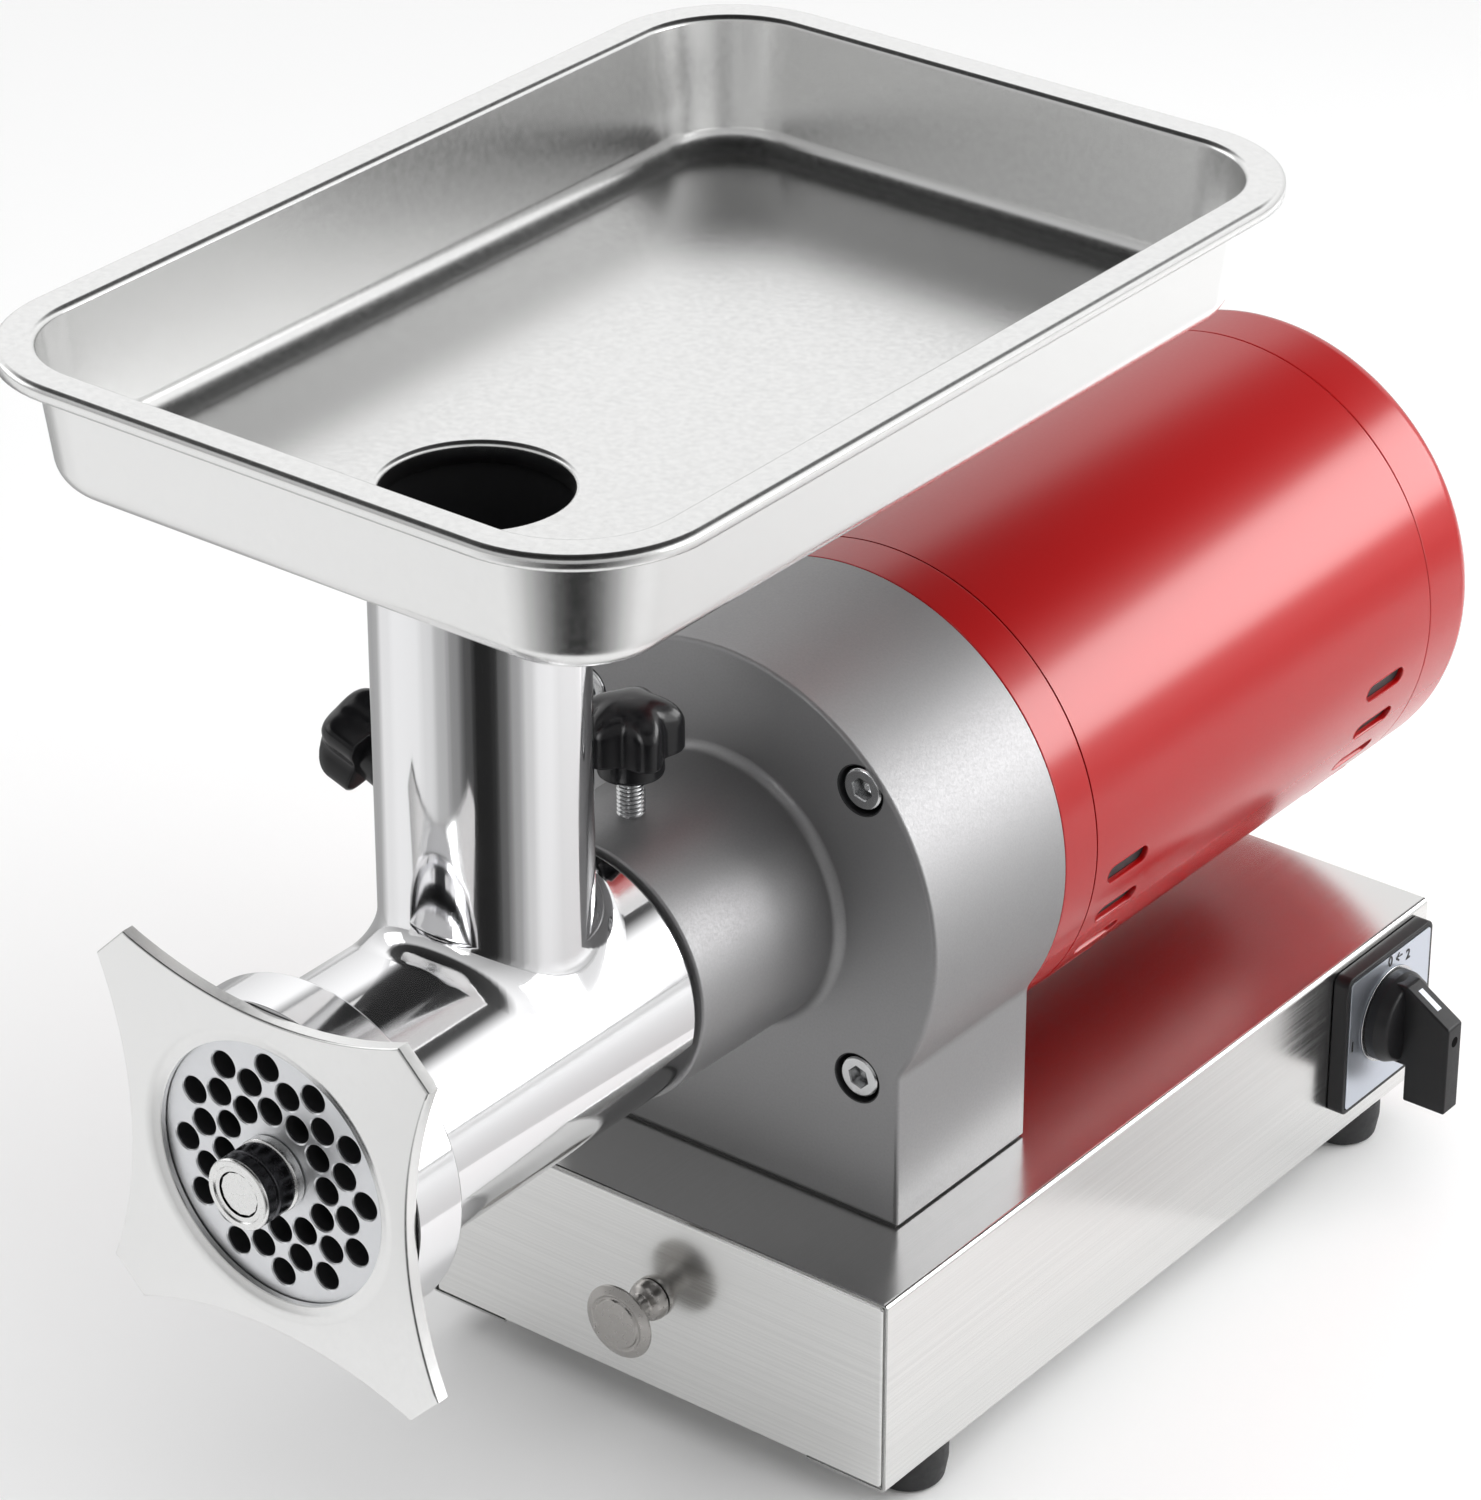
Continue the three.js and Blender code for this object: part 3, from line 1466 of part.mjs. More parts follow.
// Cam switch: its group's x runs to the rear, y up and z out of the right side

const switchGroup = new THREE.Group();
switchGroup.position.set(baseWidth / 2, switchSetback, switchHeight);
switchGroup.rotateZ(quarterTurn).rotateX(quarterTurn);
grinder.add(switchGroup);

const switchFoot = bezelDepth + 2 * fitGap;
const switchShaftBore = boreRadius(switchShaftRadius + fitGap, holeSteps);

function squareShape(size, corner) {
  return roundedRectangle(-size / 2, size / 2, -size / 2, size / 2, corner);
}

function switchBezel() {
  const opening = squareShape(bezelSize - 2 * bezelFrame, bezelCorner - bezelFrame);
  return cut(
    edgedPrism(squareShape(bezelSize, bezelCorner), fitGap, bezelDepth, bezelEdge),
    prism(opening, bezelDepth - plateSheet, bezelDepth + cutOverrun),
    rod(switchNeckRadius + fitGap, 0, bezelDepth),
  );
}

function switchPlate() {
  const face = squareShape(bezelSize - 2 * bezelFrame - 2 * fitGap, bezelCorner - bezelFrame - fitGap);
  return cut(
    prism(face, bezelDepth - plateSheet + fitGap, bezelDepth + fitGap),
    rod(switchShaftRadius + 2 * fitGap, 0, bezelDepth + cutOverrun, holeSteps),
  );
}

function switchBody() {
  const rear = -baseSheet - fitGap - switchBodyDepth;
  const outline = squareShape(switchBodySize, bezelCorner);
  const block = edgedPrism(outline, rear, -baseSheet - fitGap, switchBodyEdge);
  const neck = rod(switchNeckRadius, -switchBodyEdge - baseSheet, bezelDepth - plateSheet - fitGap);
  return cut(
    join(block, neck),
    rod(switchShaftBore, -switchShaftSink - fitGap, bezelDepth + cutOverrun, holeSteps),
  );
}

function switchHandle() {
  const foot = switchFoot;
  const disc = revolved([
    [0, foot],
    [switchDiscRadius, foot],
    [switchDiscRadius, foot + switchDiscHeight - switchGripEdge],
    [switchDiscRadius - switchGripEdge, foot + switchDiscHeight],
    [0, foot + switchDiscHeight],
  ], smallSteps);
  const out = foot + switchGripReach;
  const grip = polygon([
    [foot + switchGripEdge, switchGripTop],
    [foot + switchDiscHeight, switchGripTop],
    [out, switchGripSlope],
    [out, -switchGripTail],
    [foot + switchGripStart, -switchGripTail],
    [foot + switchGripStart, -switchGripTop],
    [foot + switchGripEdge, -switchGripTop],
  ]);
  const blade = edgedPrism(grip, -switchGripHalf, switchGripHalf, switchGripEdge).rotateY(-quarterTurn);
  return cut(
    join(disc, blade),
    rod(switchShaftBore, switchFoot - cutOverrun, switchFoot + switchShaftEmbed + fitGap, holeSteps),
  );
}

piece(switchGroup, 'switch_bezel', switchBezel(), blackPlastic);
piece(switchGroup, 'switch_plate', switchPlate(), silverPlate);
piece(switchGroup, 'switch_body', switchBody(), blackPlastic);
piece(switchGroup, 'switch_handle', switchHandle(), blackPlastic);
piece(switchGroup, 'switch_shaft',
  rod(switchShaftRadius, -switchShaftSink, switchFoot + switchShaftEmbed, holeSteps), zincSteel);

// Capacitor in its clamp, and the cable gland in the rear wall

function capacitor() {
  const half = capacitorLength / 2;
  const can = revolved([
    [0, -half],
    [capacitorRadius - capacitorEdge, -half],
    [capacitorRadius, -half + capacitorEdge],
    [capacitorRadius, half],
    [capacitorRadius - capacitorEdge, half],
    [capacitorRadius - capacitorEdge, half - capacitorEdge],
    [0, half - capacitorEdge],
  ], smallSteps);
  const terminals = [-1, 1].map((sign) => (
    rod(capacitorTerminal, half - 2 * capacitorEdge, half + capacitorTerminalHeight, holeSteps)
      .translate(sign * capacitorRadius / 2, 0, 0)));
  return join(can, ...terminals);
}

function capacitorClamp() {
  const inner = boreRadius(capacitorRadius + fitGap, smallSteps);
  const outer = inner + clampBand;
  const reach = outer + clampFootLength;
  const strap = polygon([
    [reach, -outer],
    [reach, -outer + clampBand],
    ...arc(0, 0, outer, 0, halfTurn, smallSteps / 2),
    [-reach, -outer + clampBand],
    [-reach, -outer],
  ]);
  strap.holes.push(circle(inner, smallSteps));
  return prism(strap, -clampWidth / 2, clampWidth / 2);
}

const floorTop = footHeight + 2 * baseSheet + fitGap;
const capacitorHeight = floorTop + fitGap + clampBand + boreRadius(capacitorRadius + fitGap, smallSteps);
for (const mesh of [
  piece(driveline, 'capacitor', capacitor(), silverPlate),
  piece(driveline, 'capacitor_clamp', capacitorClamp(), zincSteel),
]) {
  mesh.position.set(-baseWidth / 2 + capacitorSideInset, capacitorHeight, -baseDepth + capacitorRearInset);
  mesh.rotation.y = quarterTurn;
}

function cableGland() {
  const wall = -baseDepth;
  const hexRear = wall - fitGap - glandHexLength;
  const domeRear = hexRear - glandDomeLength;
  const stem = revolved([
    [0, domeRear],
    [glandDomeRadius - glandDomeEdge, domeRear],
    [glandDomeRadius, domeRear + glandDomeEdge],
    [glandDomeRadius, hexRear + fitGap],
    [glandRadius, hexRear + fitGap],
    [glandRadius, wall + glandThreadLength],
    [0, wall + glandThreadLength],
  ], smallSteps);
  return cut(
    join(stem, prism(hexagon(glandHexRadius), hexRear, wall - fitGap)),
    rod(glandBore, domeRear - cutOverrun, wall + glandThreadLength + cutOverrun, holeSteps),
  );
}

piece(driveline, 'cable_gland', cableGland(), blackPlastic)
  .position.set(-baseWidth / 2 + glandSideInset, baseTop - glandDrop, 0);

// The origin is under the middle of the whole object, at the height of the feet
const rightReach = baseWidth / 2 + switchFoot + switchGripReach;
grinder.position.set((trayHalfWidth - rightReach) / 2, (bushingFront + rearBellRear) / 2, 0);

export default grinder;
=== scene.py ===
import json
import math

import bmesh
import bpy
from mathutils import Matrix, Vector

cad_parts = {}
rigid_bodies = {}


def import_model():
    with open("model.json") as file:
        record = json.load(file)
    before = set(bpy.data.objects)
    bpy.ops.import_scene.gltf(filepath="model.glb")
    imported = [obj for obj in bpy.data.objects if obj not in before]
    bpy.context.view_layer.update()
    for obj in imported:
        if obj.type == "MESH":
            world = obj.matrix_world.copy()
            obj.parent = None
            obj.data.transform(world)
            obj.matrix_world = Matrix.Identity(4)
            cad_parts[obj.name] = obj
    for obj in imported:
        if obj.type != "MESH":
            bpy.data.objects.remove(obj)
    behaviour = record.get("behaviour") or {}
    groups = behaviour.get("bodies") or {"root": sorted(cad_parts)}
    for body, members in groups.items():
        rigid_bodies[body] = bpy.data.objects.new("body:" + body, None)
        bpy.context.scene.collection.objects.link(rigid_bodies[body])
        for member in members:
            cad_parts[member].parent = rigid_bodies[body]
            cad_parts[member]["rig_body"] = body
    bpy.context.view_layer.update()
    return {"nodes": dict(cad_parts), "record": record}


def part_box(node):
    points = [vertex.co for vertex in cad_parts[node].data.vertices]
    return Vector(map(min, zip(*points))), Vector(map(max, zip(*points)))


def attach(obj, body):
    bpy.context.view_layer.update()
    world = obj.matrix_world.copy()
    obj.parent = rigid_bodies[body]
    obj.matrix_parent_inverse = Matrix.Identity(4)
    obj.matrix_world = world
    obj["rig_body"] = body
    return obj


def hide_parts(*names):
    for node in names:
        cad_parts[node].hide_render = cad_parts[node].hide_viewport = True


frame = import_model()
print("Stage 1: frame loaded")

mm = 0.001
shellLow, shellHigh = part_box("motor_shell")
baseLow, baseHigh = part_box("base_shell")
axisX = (shellLow.x + shellHigh.x) / 2 / mm  # driveline axis, in mm of the row frame
axisZ = (shellLow.z + shellHigh.z) / 2 / mm
faceY = baseLow.y / mm  # the base's front face; forward is towards -Y
right, forward, rearward, up = (Vector(d) for d in ((1, 0, 0), (0, -1, 0), (0, 1, 0), (0, 0, 1)))
clampAhead = 7.3  # both clamp screws' distance ahead of the base's face
clampLean = math.radians(72)  # the side clamp's lean from upright
clampSide = Vector((-math.sin(clampLean), 0, math.cos(clampLean)))


def at(x, y, z):
    return Vector((x, y, z)) * mm


def station(ahead, x=0.0, z=0.0):  # a place by its distance ahead of the base's face and from the axis
    return at(axisX + x, faceY - ahead, axisZ + z)


# Materials: all procedural, in object coordinates (metres)

materials = {}


def setInputs(node, **values):  # a socket's name is written with _ for each space
    for key, value in values.items():
        node.inputs[key.replace("_", " ")].default_value = value


def newMaterial(name, color, metallic, roughness, coat=0.0, coatRoughness=0.05, specular=0.5):
    made = bpy.data.materials.new(name)
    made.use_nodes = True
    shader = made.node_tree.nodes["Principled BSDF"]
    setInputs(shader, Base_Color=(*color, 1), Metallic=metallic, Roughness=roughness, Coat_Weight=coat,
              Coat_Roughness=coatRoughness, Specular_IOR_Level=specular)
    materials[name] = made
    return made, shader


def stretchedNoise(made, scale, detail=3.0, rough=0.6):
    nodes, links = made.node_tree.nodes, made.node_tree.links
    place = nodes.new("ShaderNodeTexCoord")
    mapping = nodes.new("ShaderNodeMapping")
    setInputs(mapping, Scale=scale)
    noise = nodes.new("ShaderNodeTexNoise")
    setInputs(noise, Scale=1.0, Detail=detail, Roughness=rough)
    links.new(place.outputs["Object"], mapping.inputs["Vector"])
    links.new(mapping.outputs["Vector"], noise.inputs["Vector"])
    return noise.outputs["Fac"]


def mapRange(made, value, low, high, fromLow=0.3, fromHigh=0.7):
    node = made.node_tree.nodes.new("ShaderNodeMapRange")
    setInputs(node, From_Min=fromLow, From_Max=fromHigh, To_Min=low, To_Max=high)
    made.node_tree.links.new(value, node.inputs["Value"])
    return node.outputs["Result"]


def bump(made, shader, height, strength, distance):
    node = made.node_tree.nodes.new("ShaderNodeBump")
    setInputs(node, Strength=strength, Distance=distance)
    made.node_tree.links.new(height, node.inputs["Height"])
    made.node_tree.links.new(node.outputs["Normal"], shader.inputs["Normal"])


def grain(made, shader, scale, roughLow, roughHigh, strength, distance=0.00002):
    fac = stretchedNoise(made, scale)
    made.node_tree.links.new(mapRange(made, fac, roughLow, roughHigh), shader.inputs["Roughness"])
    bump(made, shader, fac, strength, distance)


def finish(name, color, metallic, roughness, scale, low, high, strength, distance=0.00002, specular=0.5):
    made, shader = newMaterial(name, color, metallic, roughness, specular=specular)
    grain(made, shader, scale if isinstance(scale, tuple) else (scale,) * 3, low, high, strength, distance)
    return made


# Sheet of the base: streaks run level along the walls, and along the depth on the top
made, shader = newMaterial("brushed_sheet", (0.80, 0.80, 0.79), 1.0, 0.3)
nodes, links = made.node_tree.nodes, made.node_tree.links
brushed = {"along": 2.5, "across": 1500, "faint": (0.42, 0.58), "roughness": (0.17, 0.25),
           "spots": (0.35, 0.65), "tones": (0.75, 0.83), "warmth": 0.988}
walls = stretchedNoise(made, (brushed["along"], brushed["along"], brushed["across"]))
top = mapRange(made, stretchedNoise(made, (brushed["across"], brushed["along"], brushed["along"])),
               *brushed["faint"])
normal = nodes.new("ShaderNodeNewGeometry")
split = nodes.new("ShaderNodeSeparateXYZ")
level = nodes.new("ShaderNodeMath")
level.operation = "ABSOLUTE"
mix = nodes.new("ShaderNodeMix")
links.new(normal.outputs["True Normal"], split.inputs["Vector"])
links.new(split.outputs["Z"], level.inputs[0])
links.new(level.outputs[0], mix.inputs["Factor"])
links.new(walls, mix.inputs["A"])
links.new(top, mix.inputs["B"])
streak = mix.outputs["Result"]
links.new(mapRange(made, streak, *brushed["roughness"]), shader.inputs["Roughness"])
bump(made, shader, streak, 0.16, 0.00003)
tone = nodes.new("ShaderNodeValToRGB")
for element, spot, value in zip(tone.color_ramp.elements, brushed["spots"], brushed["tones"]):
    element.position = spot
    element.color = (value, value, value * brushed["warmth"], 1)
links.new(streak, tone.inputs["Fac"])
links.new(tone.outputs["Color"], shader.inputs["Base Color"])

# name, colour, metallic, roughness, grain's scale, its least and most roughness, bump
finish("satin_steel", (0.82, 0.82, 0.815), 1.0, 0.26, 700, 0.22, 0.30, 0.06)
finish("tray_steel", (0.84, 0.84, 0.835), 1.0, 0.24, 500, 0.20, 0.27, 0.05)
finish("knob_steel", (0.42, 0.405, 0.39), 1.0, 0.28, 700, 0.26, 0.32, 0.02)
finish("polished_steel", (0.86, 0.86, 0.87), 1.0, 0.08, 60, 0.065, 0.095, 0.02)
finish("plate_steel", (0.80, 0.81, 0.83), 1.0, 0.42, 900, 0.38, 0.48, 0.2)
made, shader = newMaterial("cast_silver", (0.34, 0.338, 0.342), 1.0, 0.5)
sand = stretchedNoise(made, (1400, 1400, 1400), 4.0, 0.7)
made.node_tree.links.new(mapRange(made, sand, 0.46, 0.60), shader.inputs["Roughness"])
bump(made, shader, sand, 0.30, 0.00012)
made, shader = newMaterial("red_paint", (0.36, 0.0002, 0.001), 0.2, 0.5, coat=1.0, coatRoughness=0.2,
                           specular=0.0)
shader.inputs["Coat IOR"].default_value = 1.55
flake = stretchedNoise(made, (900, 900, 900), 2.0)
made.node_tree.links.new(mapRange(made, flake, 0.46, 0.56), shader.inputs["Roughness"])
finish("black_plastic", (0.008, 0.008, 0.009), 0.0, 0.2, 300, 0.17, 0.24, 0.03, specular=0.32)
finish("satin_black", (0.010, 0.010, 0.011), 0.0, 0.38, 900, 0.34, 0.44, 0.12, 0.00005, specular=0.32)
finish("white_plastic", (0.78, 0.77, 0.73), 0.0, 0.45, 400, 0.42, 0.5, 0.05)
finish("black_rubber", (0.014, 0.014, 0.015), 0.0, 0.55, 600, 0.5, 0.66, 0.2, 0.00006)
finish("gasket", (0.09, 0.09, 0.09), 0.0, 0.8, 500, 0.75, 0.88, 0.2, 0.00006)
finish("zinc_steel", (0.60, 0.605, 0.61), 1.0, 0.2, 800, 0.17, 0.27, 0.03)
finish("gear_steel", (0.48, 0.49, 0.50), 1.0, 0.32, 500, 0.27, 0.38, 0.1)
finish("dark_steel", (0.10, 0.10, 0.108), 1.0, 0.24, 500, 0.20, 0.30, 0.08)
finish("copper", (0.62, 0.29, 0.13), 1.0, 0.34, (60, 60, 900), 0.28, 0.42, 0.4, 0.0002)
finish("silver_plate", (0.62, 0.66, 0.73), 1.0, 0.3, (1200, 20, 20), 0.26, 0.36, 0.1)
# painted shade: a near-black finish for the walls inside pockets, holes, the motor's shell and the head's
# bore
finish("painted_shade_inside", (0.03, 0.03, 0.032), 0.4, 0.5, 300, 0.45, 0.6, 0.05)
# painted shade: a pure black for a thin disc that stands for a hole
finish("painted_hole_shade", (0.002, 0.002, 0.002), 0.0, 0.8, 400, 0.75, 0.85, 0.02, specular=0.05)
finish("white_mark", (0.72, 0.78, 0.86), 0.0, 0.4, 400, 0.36, 0.44, 0.02)
print("Stage 2: materials")


# Shared ways of making meshes

near = 1e-6  # metres within which two places are one


def arc(x, y, radius, turns):
    return [(x + radius * math.cos(a), y + radius * math.sin(a)) for a in turns]


def vertsIn(geom):
    return [item for item in geom if isinstance(item, bmesh.types.BMVert)]


def addWire(bm, points, closed=False, quarter=8):  # points: (place, corner radius in mm)
    verts = [bm.verts.new(place) for place, radius in points]
    ends = verts[1:] + (verts[:1] if closed else [])
    for start, end in zip(verts, ends):
        bm.edges.new((start, end))
    for vert, (place, radius) in zip(verts, points):
        if radius:
            one, two = (edge.other_vert(vert).co - vert.co for edge in vert.link_edges)
            turn = math.pi - one.angle(two)
            bmesh.ops.bevel(
                bm, geom=[vert], offset=radius * mm * math.tan(turn / 2), offset_type="OFFSET",
                segments=max(2, round(quarter * turn / (math.pi / 2))), profile=0.5,
                affect="VERTICES", material=-1)


def lathe(bm, base, axis, profile, steps=96, closed=False):  # profile rows: radius, along, corner radius
    side = axis.orthogonal().normalized()
    old = set(bm.verts)
    oldEdges = set(bm.edges)
    addWire(bm, [(base + (axis * row[1] + side * row[0]) * mm, row[2] if len(row) > 2 else 0)
                 for row in profile], closed)
    geom = [v for v in bm.verts if v not in old] + [e for e in bm.edges if e not in oldEdges]
    bmesh.ops.spin(bm, geom=geom, cent=base, axis=axis, dvec=(0, 0, 0), angle=math.tau,
                   steps=steps, use_merge=True, use_normal_flip=False, use_duplicate=False)
    bmesh.ops.remove_doubles(bm, verts=[v for v in bm.verts if v not in old], dist=1e-6)


def shifted(rows, along):
    return [(row[0], row[1] + along, *row[2:]) for row in rows]


def ring(bm, centre, axis, radius, steps=96):  # a circle of edges that meets a lathe's of as many steps
    side = axis.orthogonal().normalized() * radius * mm
    verts = [bm.verts.new(centre + Matrix.Rotation(math.tau * i / steps, 3, axis) @ side)
             for i in range(steps)]
    return [bm.edges.new((verts[i - 1], verts[i])) for i in range(steps)]


def pull(bm, edges, move):  # extrudes a loop of edges and moves the new vertices
    made = bmesh.ops.extrude_edge_only(bm, edges=edges)["geom"]
    for vert in vertsIn(made):
        vert.co = move(vert.co.copy())
    return [e for e in made if isinstance(e, bmesh.types.BMEdge)]


def scaled(centre, axis, radius, along):  # a move for pull: to that radius and distance along the axis
    def move(place):
        out = place - centre
        out -= axis * out.dot(axis)
        return centre + out.normalized() * radius * mm + axis * along * mm
    return move


def capped(bm, edges, outward):  # closes a loop with one face that looks outward
    face = bmesh.ops.contextual_create(bm, geom=edges)["faces"][0]
    if face.normal.dot(outward) < 0:
        face.normal_flip()
    return face


def roundedFace(bm, face, radius, steps=4):  # raises a face, with a rounded edge round it
    for i in range(steps):
        low, high = (math.pi / 2 * k / steps for k in (i, i + 1))
        bmesh.ops.inset_individual(
            bm, faces=[face], thickness=radius * mm * (math.cos(low) - math.cos(high)),
            depth=radius * mm * (math.sin(high) - math.sin(low)), use_even_offset=True)


def fill(bm, edges, axis):
    bmesh.ops.triangle_fill(bm, use_beauty=True, use_dissolve=False, edges=edges, normal=axis)


def cutAcross(bm, places, normal):  # splits the faces of a flat sheet by planes
    for place in places:
        bmesh.ops.bisect_plane(bm, geom=bm.verts[:] + bm.edges[:] + bm.faces[:], dist=1e-7,
                               plane_co=place, plane_no=normal)


def holeEdges(bm, half, first, last):  # the open edges inside a flat sheet, away from its outer border
    return [e for e in bm.edges if e.is_boundary
            and all(abs(abs(v.co.x) - half * mm) > near for v in e.verts)
            and all(first * mm + near < v.co.y < last * mm - near for v in e.verts)]


def radialNormals(base, axis, radius):  # exact normals for the faces that lie on this cylinder
    def normals(face):
        outs = [loop.vert.co - base for loop in face.loops]
        outs = [out - axis * out.dot(axis) for out in outs]
        if all(abs(out.length - radius * mm) < 2e-5 for out in outs):
            sign = 1 if face.normal.dot(sum(outs, Vector())) > 0 else -1
            return [sign * out.normalized() for out in outs]
        return None
    return normals


def newObject(bm, name):
    mesh = bpy.data.meshes.new(name)
    bm.to_mesh(mesh)
    bm.free()
    made = bpy.data.objects.new(name, mesh)
    bpy.context.scene.collection.objects.link(made)
    return made


def thicken(made, thickness, even=True):  # a sheet's thickness, laid inwards
    modifier = made.modifiers.new("sheet", "SOLIDIFY")
    modifier.thickness = thickness * mm
    modifier.offset = -1
    modifier.use_even_offset = even
    made.modifiers.new("normals", "WEIGHTED_NORMAL").keep_sharp = True


def makePiece(bm, name, stands, slot, look=None, sharp=32, looks=(), exact=None, weighted=True,
              body=None, cleaned=True):
    if cleaned:
        bmesh.ops.remove_doubles(bm, verts=bm.verts, dist=2e-6)
        bmesh.ops.dissolve_degenerate(bm, dist=1e-7, edges=bm.edges)
        bmesh.ops.recalc_face_normals(bm, faces=bm.faces)
    for face in bm.faces:
        face.smooth = True
    for edge in bm.edges:
        edge.smooth = edge.calc_face_angle(0) < math.radians(sharp)
    bm.normal_update()
    loops = []
    if exact:
        for face in bm.faces:
            found = exact(face)
            loops += found if found else [Vector()] * len(face.loops)
    made = newObject(bm, name)
    if exact:
        made.data.normals_split_custom_set(loops)
    for key in (look or slot, *looks):
        made.data.materials.append(materials[key])
    if weighted and not exact:
        made.modifiers.new("normals", "WEIGHTED_NORMAL").keep_sharp = True
    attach(made, body or frame["nodes"][stands]["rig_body"])
    if stands:
        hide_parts(stands)
    return made


# Base: one sheet folded over the top and the sides, with a rear wall

base = {"sheet": 1.2, "bend": 1.6, "lowBend": 1.5, "flange": 28, "rearBend": 1.2}
bm = bmesh.new()
low, high = baseLow / mm, baseHigh / mm
section = [(low.x + base["flange"], low.z, 0), (low.x, low.z, base["lowBend"]),
           (low.x, high.z, base["bend"]), (high.x, high.z, base["bend"]),
           (high.x, low.z, base["lowBend"]), (high.x - base["flange"], low.z, 0)]
addWire(bm, [(at(x, low.y, z), r) for x, z, r in section])
deep = pull(bm, bm.edges[:], lambda place: place + rearward * (high.y - low.y) * mm)
bmesh.ops.contextual_create(bm, geom=deep)
bmesh.ops.recalc_face_normals(bm, faces=bm.faces)
corner = [e for e in deep if e.is_valid and len(e.link_faces) == 2]
bmesh.ops.bevel(bm, geom=corner, offset=base["rearBend"] * mm, offset_type="OFFSET", segments=4,
                profile=0.5, affect="EDGES", clamp_overlap=True, material=-1)
for face in bm.faces:  # outward, seen from the middle of the box
    if face.normal.dot(face.calc_center_median() - (baseLow + baseHigh) / 2) < 0:
        face.normal_flip()
shell = makePiece(bm, "baseSheet", "base_shell", "brushed_sheet", cleaned=False, weighted=False)
thicken(shell, base["sheet"])

# Feet

foot = {"top": 11.8, "bottom": 10.5, "round": 2.4, "waist": 0.55, "waistRound": 6, "counter": 5,
        "counterDepth": 6}
for name in ("foot_front_left", "foot_front_right", "foot_rear_left", "foot_rear_right"):
    low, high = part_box(name)
    middle = (low + high) / 2
    height = (high.z - low.z) / mm
    bm = bmesh.new()
    lathe(bm, Vector((middle.x, middle.y, low.z)), up, [
        (0, foot["counterDepth"]), (foot["counter"], foot["counterDepth"], 0.4),
        (foot["counter"], 0, 0.6), (foot["bottom"], 0, foot["round"]),
        (foot["top"], height * foot["waist"], foot["waistRound"]), (foot["top"], height, 0.5),
        (0, height)], 64)
    makePiece(bm, name + "Rubber", name, "black_rubber", sharp=50)

# Drawer: folded front panel and a turned knob

panel = {"edge": 1.0, "sheet": 1.1, "corner": 1.4}
low, high = (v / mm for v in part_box("drawer_front"))
bm = bmesh.new()
addWire(bm, [(at(x, high.y, z), panel["corner"]) for x, z in (
    (low.x, low.z), (high.x, low.z), (high.x, high.z), (low.x, high.z))], closed=True)
front = pull(bm, bm.edges[:],
             lambda place: place + forward * (high.y - low.y - panel["edge"]) * mm)
roundedFace(bm, capped(bm, front, forward), panel["edge"])
thicken(makePiece(bm, "drawerPanel", "drawer_front", "brushed_sheet", weighted=False),
        panel["sheet"], even=False)

knob = {"profile": [(0, 0), (6.4, 0, 0.3), (6.4, 1.2, 0.5), (5.8, 3.4, 2.2), (3.6, 5.0, 1.0), (3.5, 9.0),
                    (4.1, 12.2, 2.0), (11.15, 14.1, 0.5), (11.65, 14.6, 0.4), (11.65, 15.2, 0.4),
                    (9.0, 16.5, 0.5), (8.6, 16.2, 0.2), (7.9, 16.2, 0.2), (7.6, 16.8, 0.3),
                    (3.8, 17.1, 4), (0, 17.1)]}
low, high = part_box("drawer_knob")
middle = (low + high) / 2
bm = bmesh.new()
lathe(bm, Vector((middle.x, high.y, middle.z)), forward, knob["profile"], 80)
makePiece(bm, "drawerKnobTurned", "drawer_knob", "satin_steel", look="knob_steel", sharp=40)
print("Stage 3: base and drawer")

# Gear housing: arch on a pedestal, neck with a root fillet, side boss, bolt pockets

housing = {"arch": 74.9, "half": 62.8, "fillet": 7, "edge": 1.3, "front": -32.5, "rear": -94.8,
           "neckRoot": 41.4, "neckFront": 40.4, "neckFillet": 3.2, "neckEnd": 27, "spigot": 33.3,
           "pocket": 7.4, "pocketDepth": 8.4, "boltX": 48.5, "boltZ": 46.3, "boss": 11, "bossTop": 63.4,
           "bossSink": 12, "screwHole": 4.3}
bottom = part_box("gear_housing")[0].z / mm
bm = bmesh.new()
reach = housing["arch"] + housing["fillet"]
meetX = housing["half"] + housing["fillet"]
lean = math.acos(meetX / reach)
meetZ = -reach * math.sin(lean)
outline = [(-housing["half"], bottom - axisZ), (housing["half"], bottom - axisZ)]
outline += arc(meetX, meetZ, housing["fillet"], (math.pi - lean * k / 8 for k in range(9)))
outline += arc(0, 0, housing["arch"], (-lean + (math.pi + 2 * lean) * k / 128 for k in range(1, 128)))
outline += arc(-meetX, meetZ, housing["fillet"], (lean * (1 - k / 8) for k in range(9)))
addWire(bm, [(station(housing["rear"], x, z), 0) for x, z in outline], closed=True)
loop = bm.edges[:]
bmesh.ops.contextual_create(bm, geom=loop)
depth = housing["front"] - housing["rear"] - housing["edge"]
front = pull(bm, [e for e in loop if e.is_valid], lambda place: place + forward * depth * mm)
face = capped(bm, front, forward)
roundedFace(bm, face, housing["edge"], 5)
opened = face.edges[:]
bmesh.ops.delete(bm, geom=[face], context="FACES_ONLY")
root = station(housing["front"])
rootRadius = housing["neckRoot"] + housing["neckFillet"]
opened += ring(bm, root, forward, rootRadius, 160)
boltPlaces = {"upper_right": (1, 1), "upper_left": (-1, 1), "lower_left": (-1, -1),
              "lower_right": (1, -1)}
pockets = []
for name, (signX, signZ) in boltPlaces.items():
    centre = station(housing["front"], signX * housing["boltX"], signZ * housing["boltZ"])
    pockets.append((centre, ring(bm, centre, forward, housing["pocket"] + 0.5, 48)))
    opened += pockets[-1][1]
fill(bm, opened, forward)
inside = set(bm.faces)
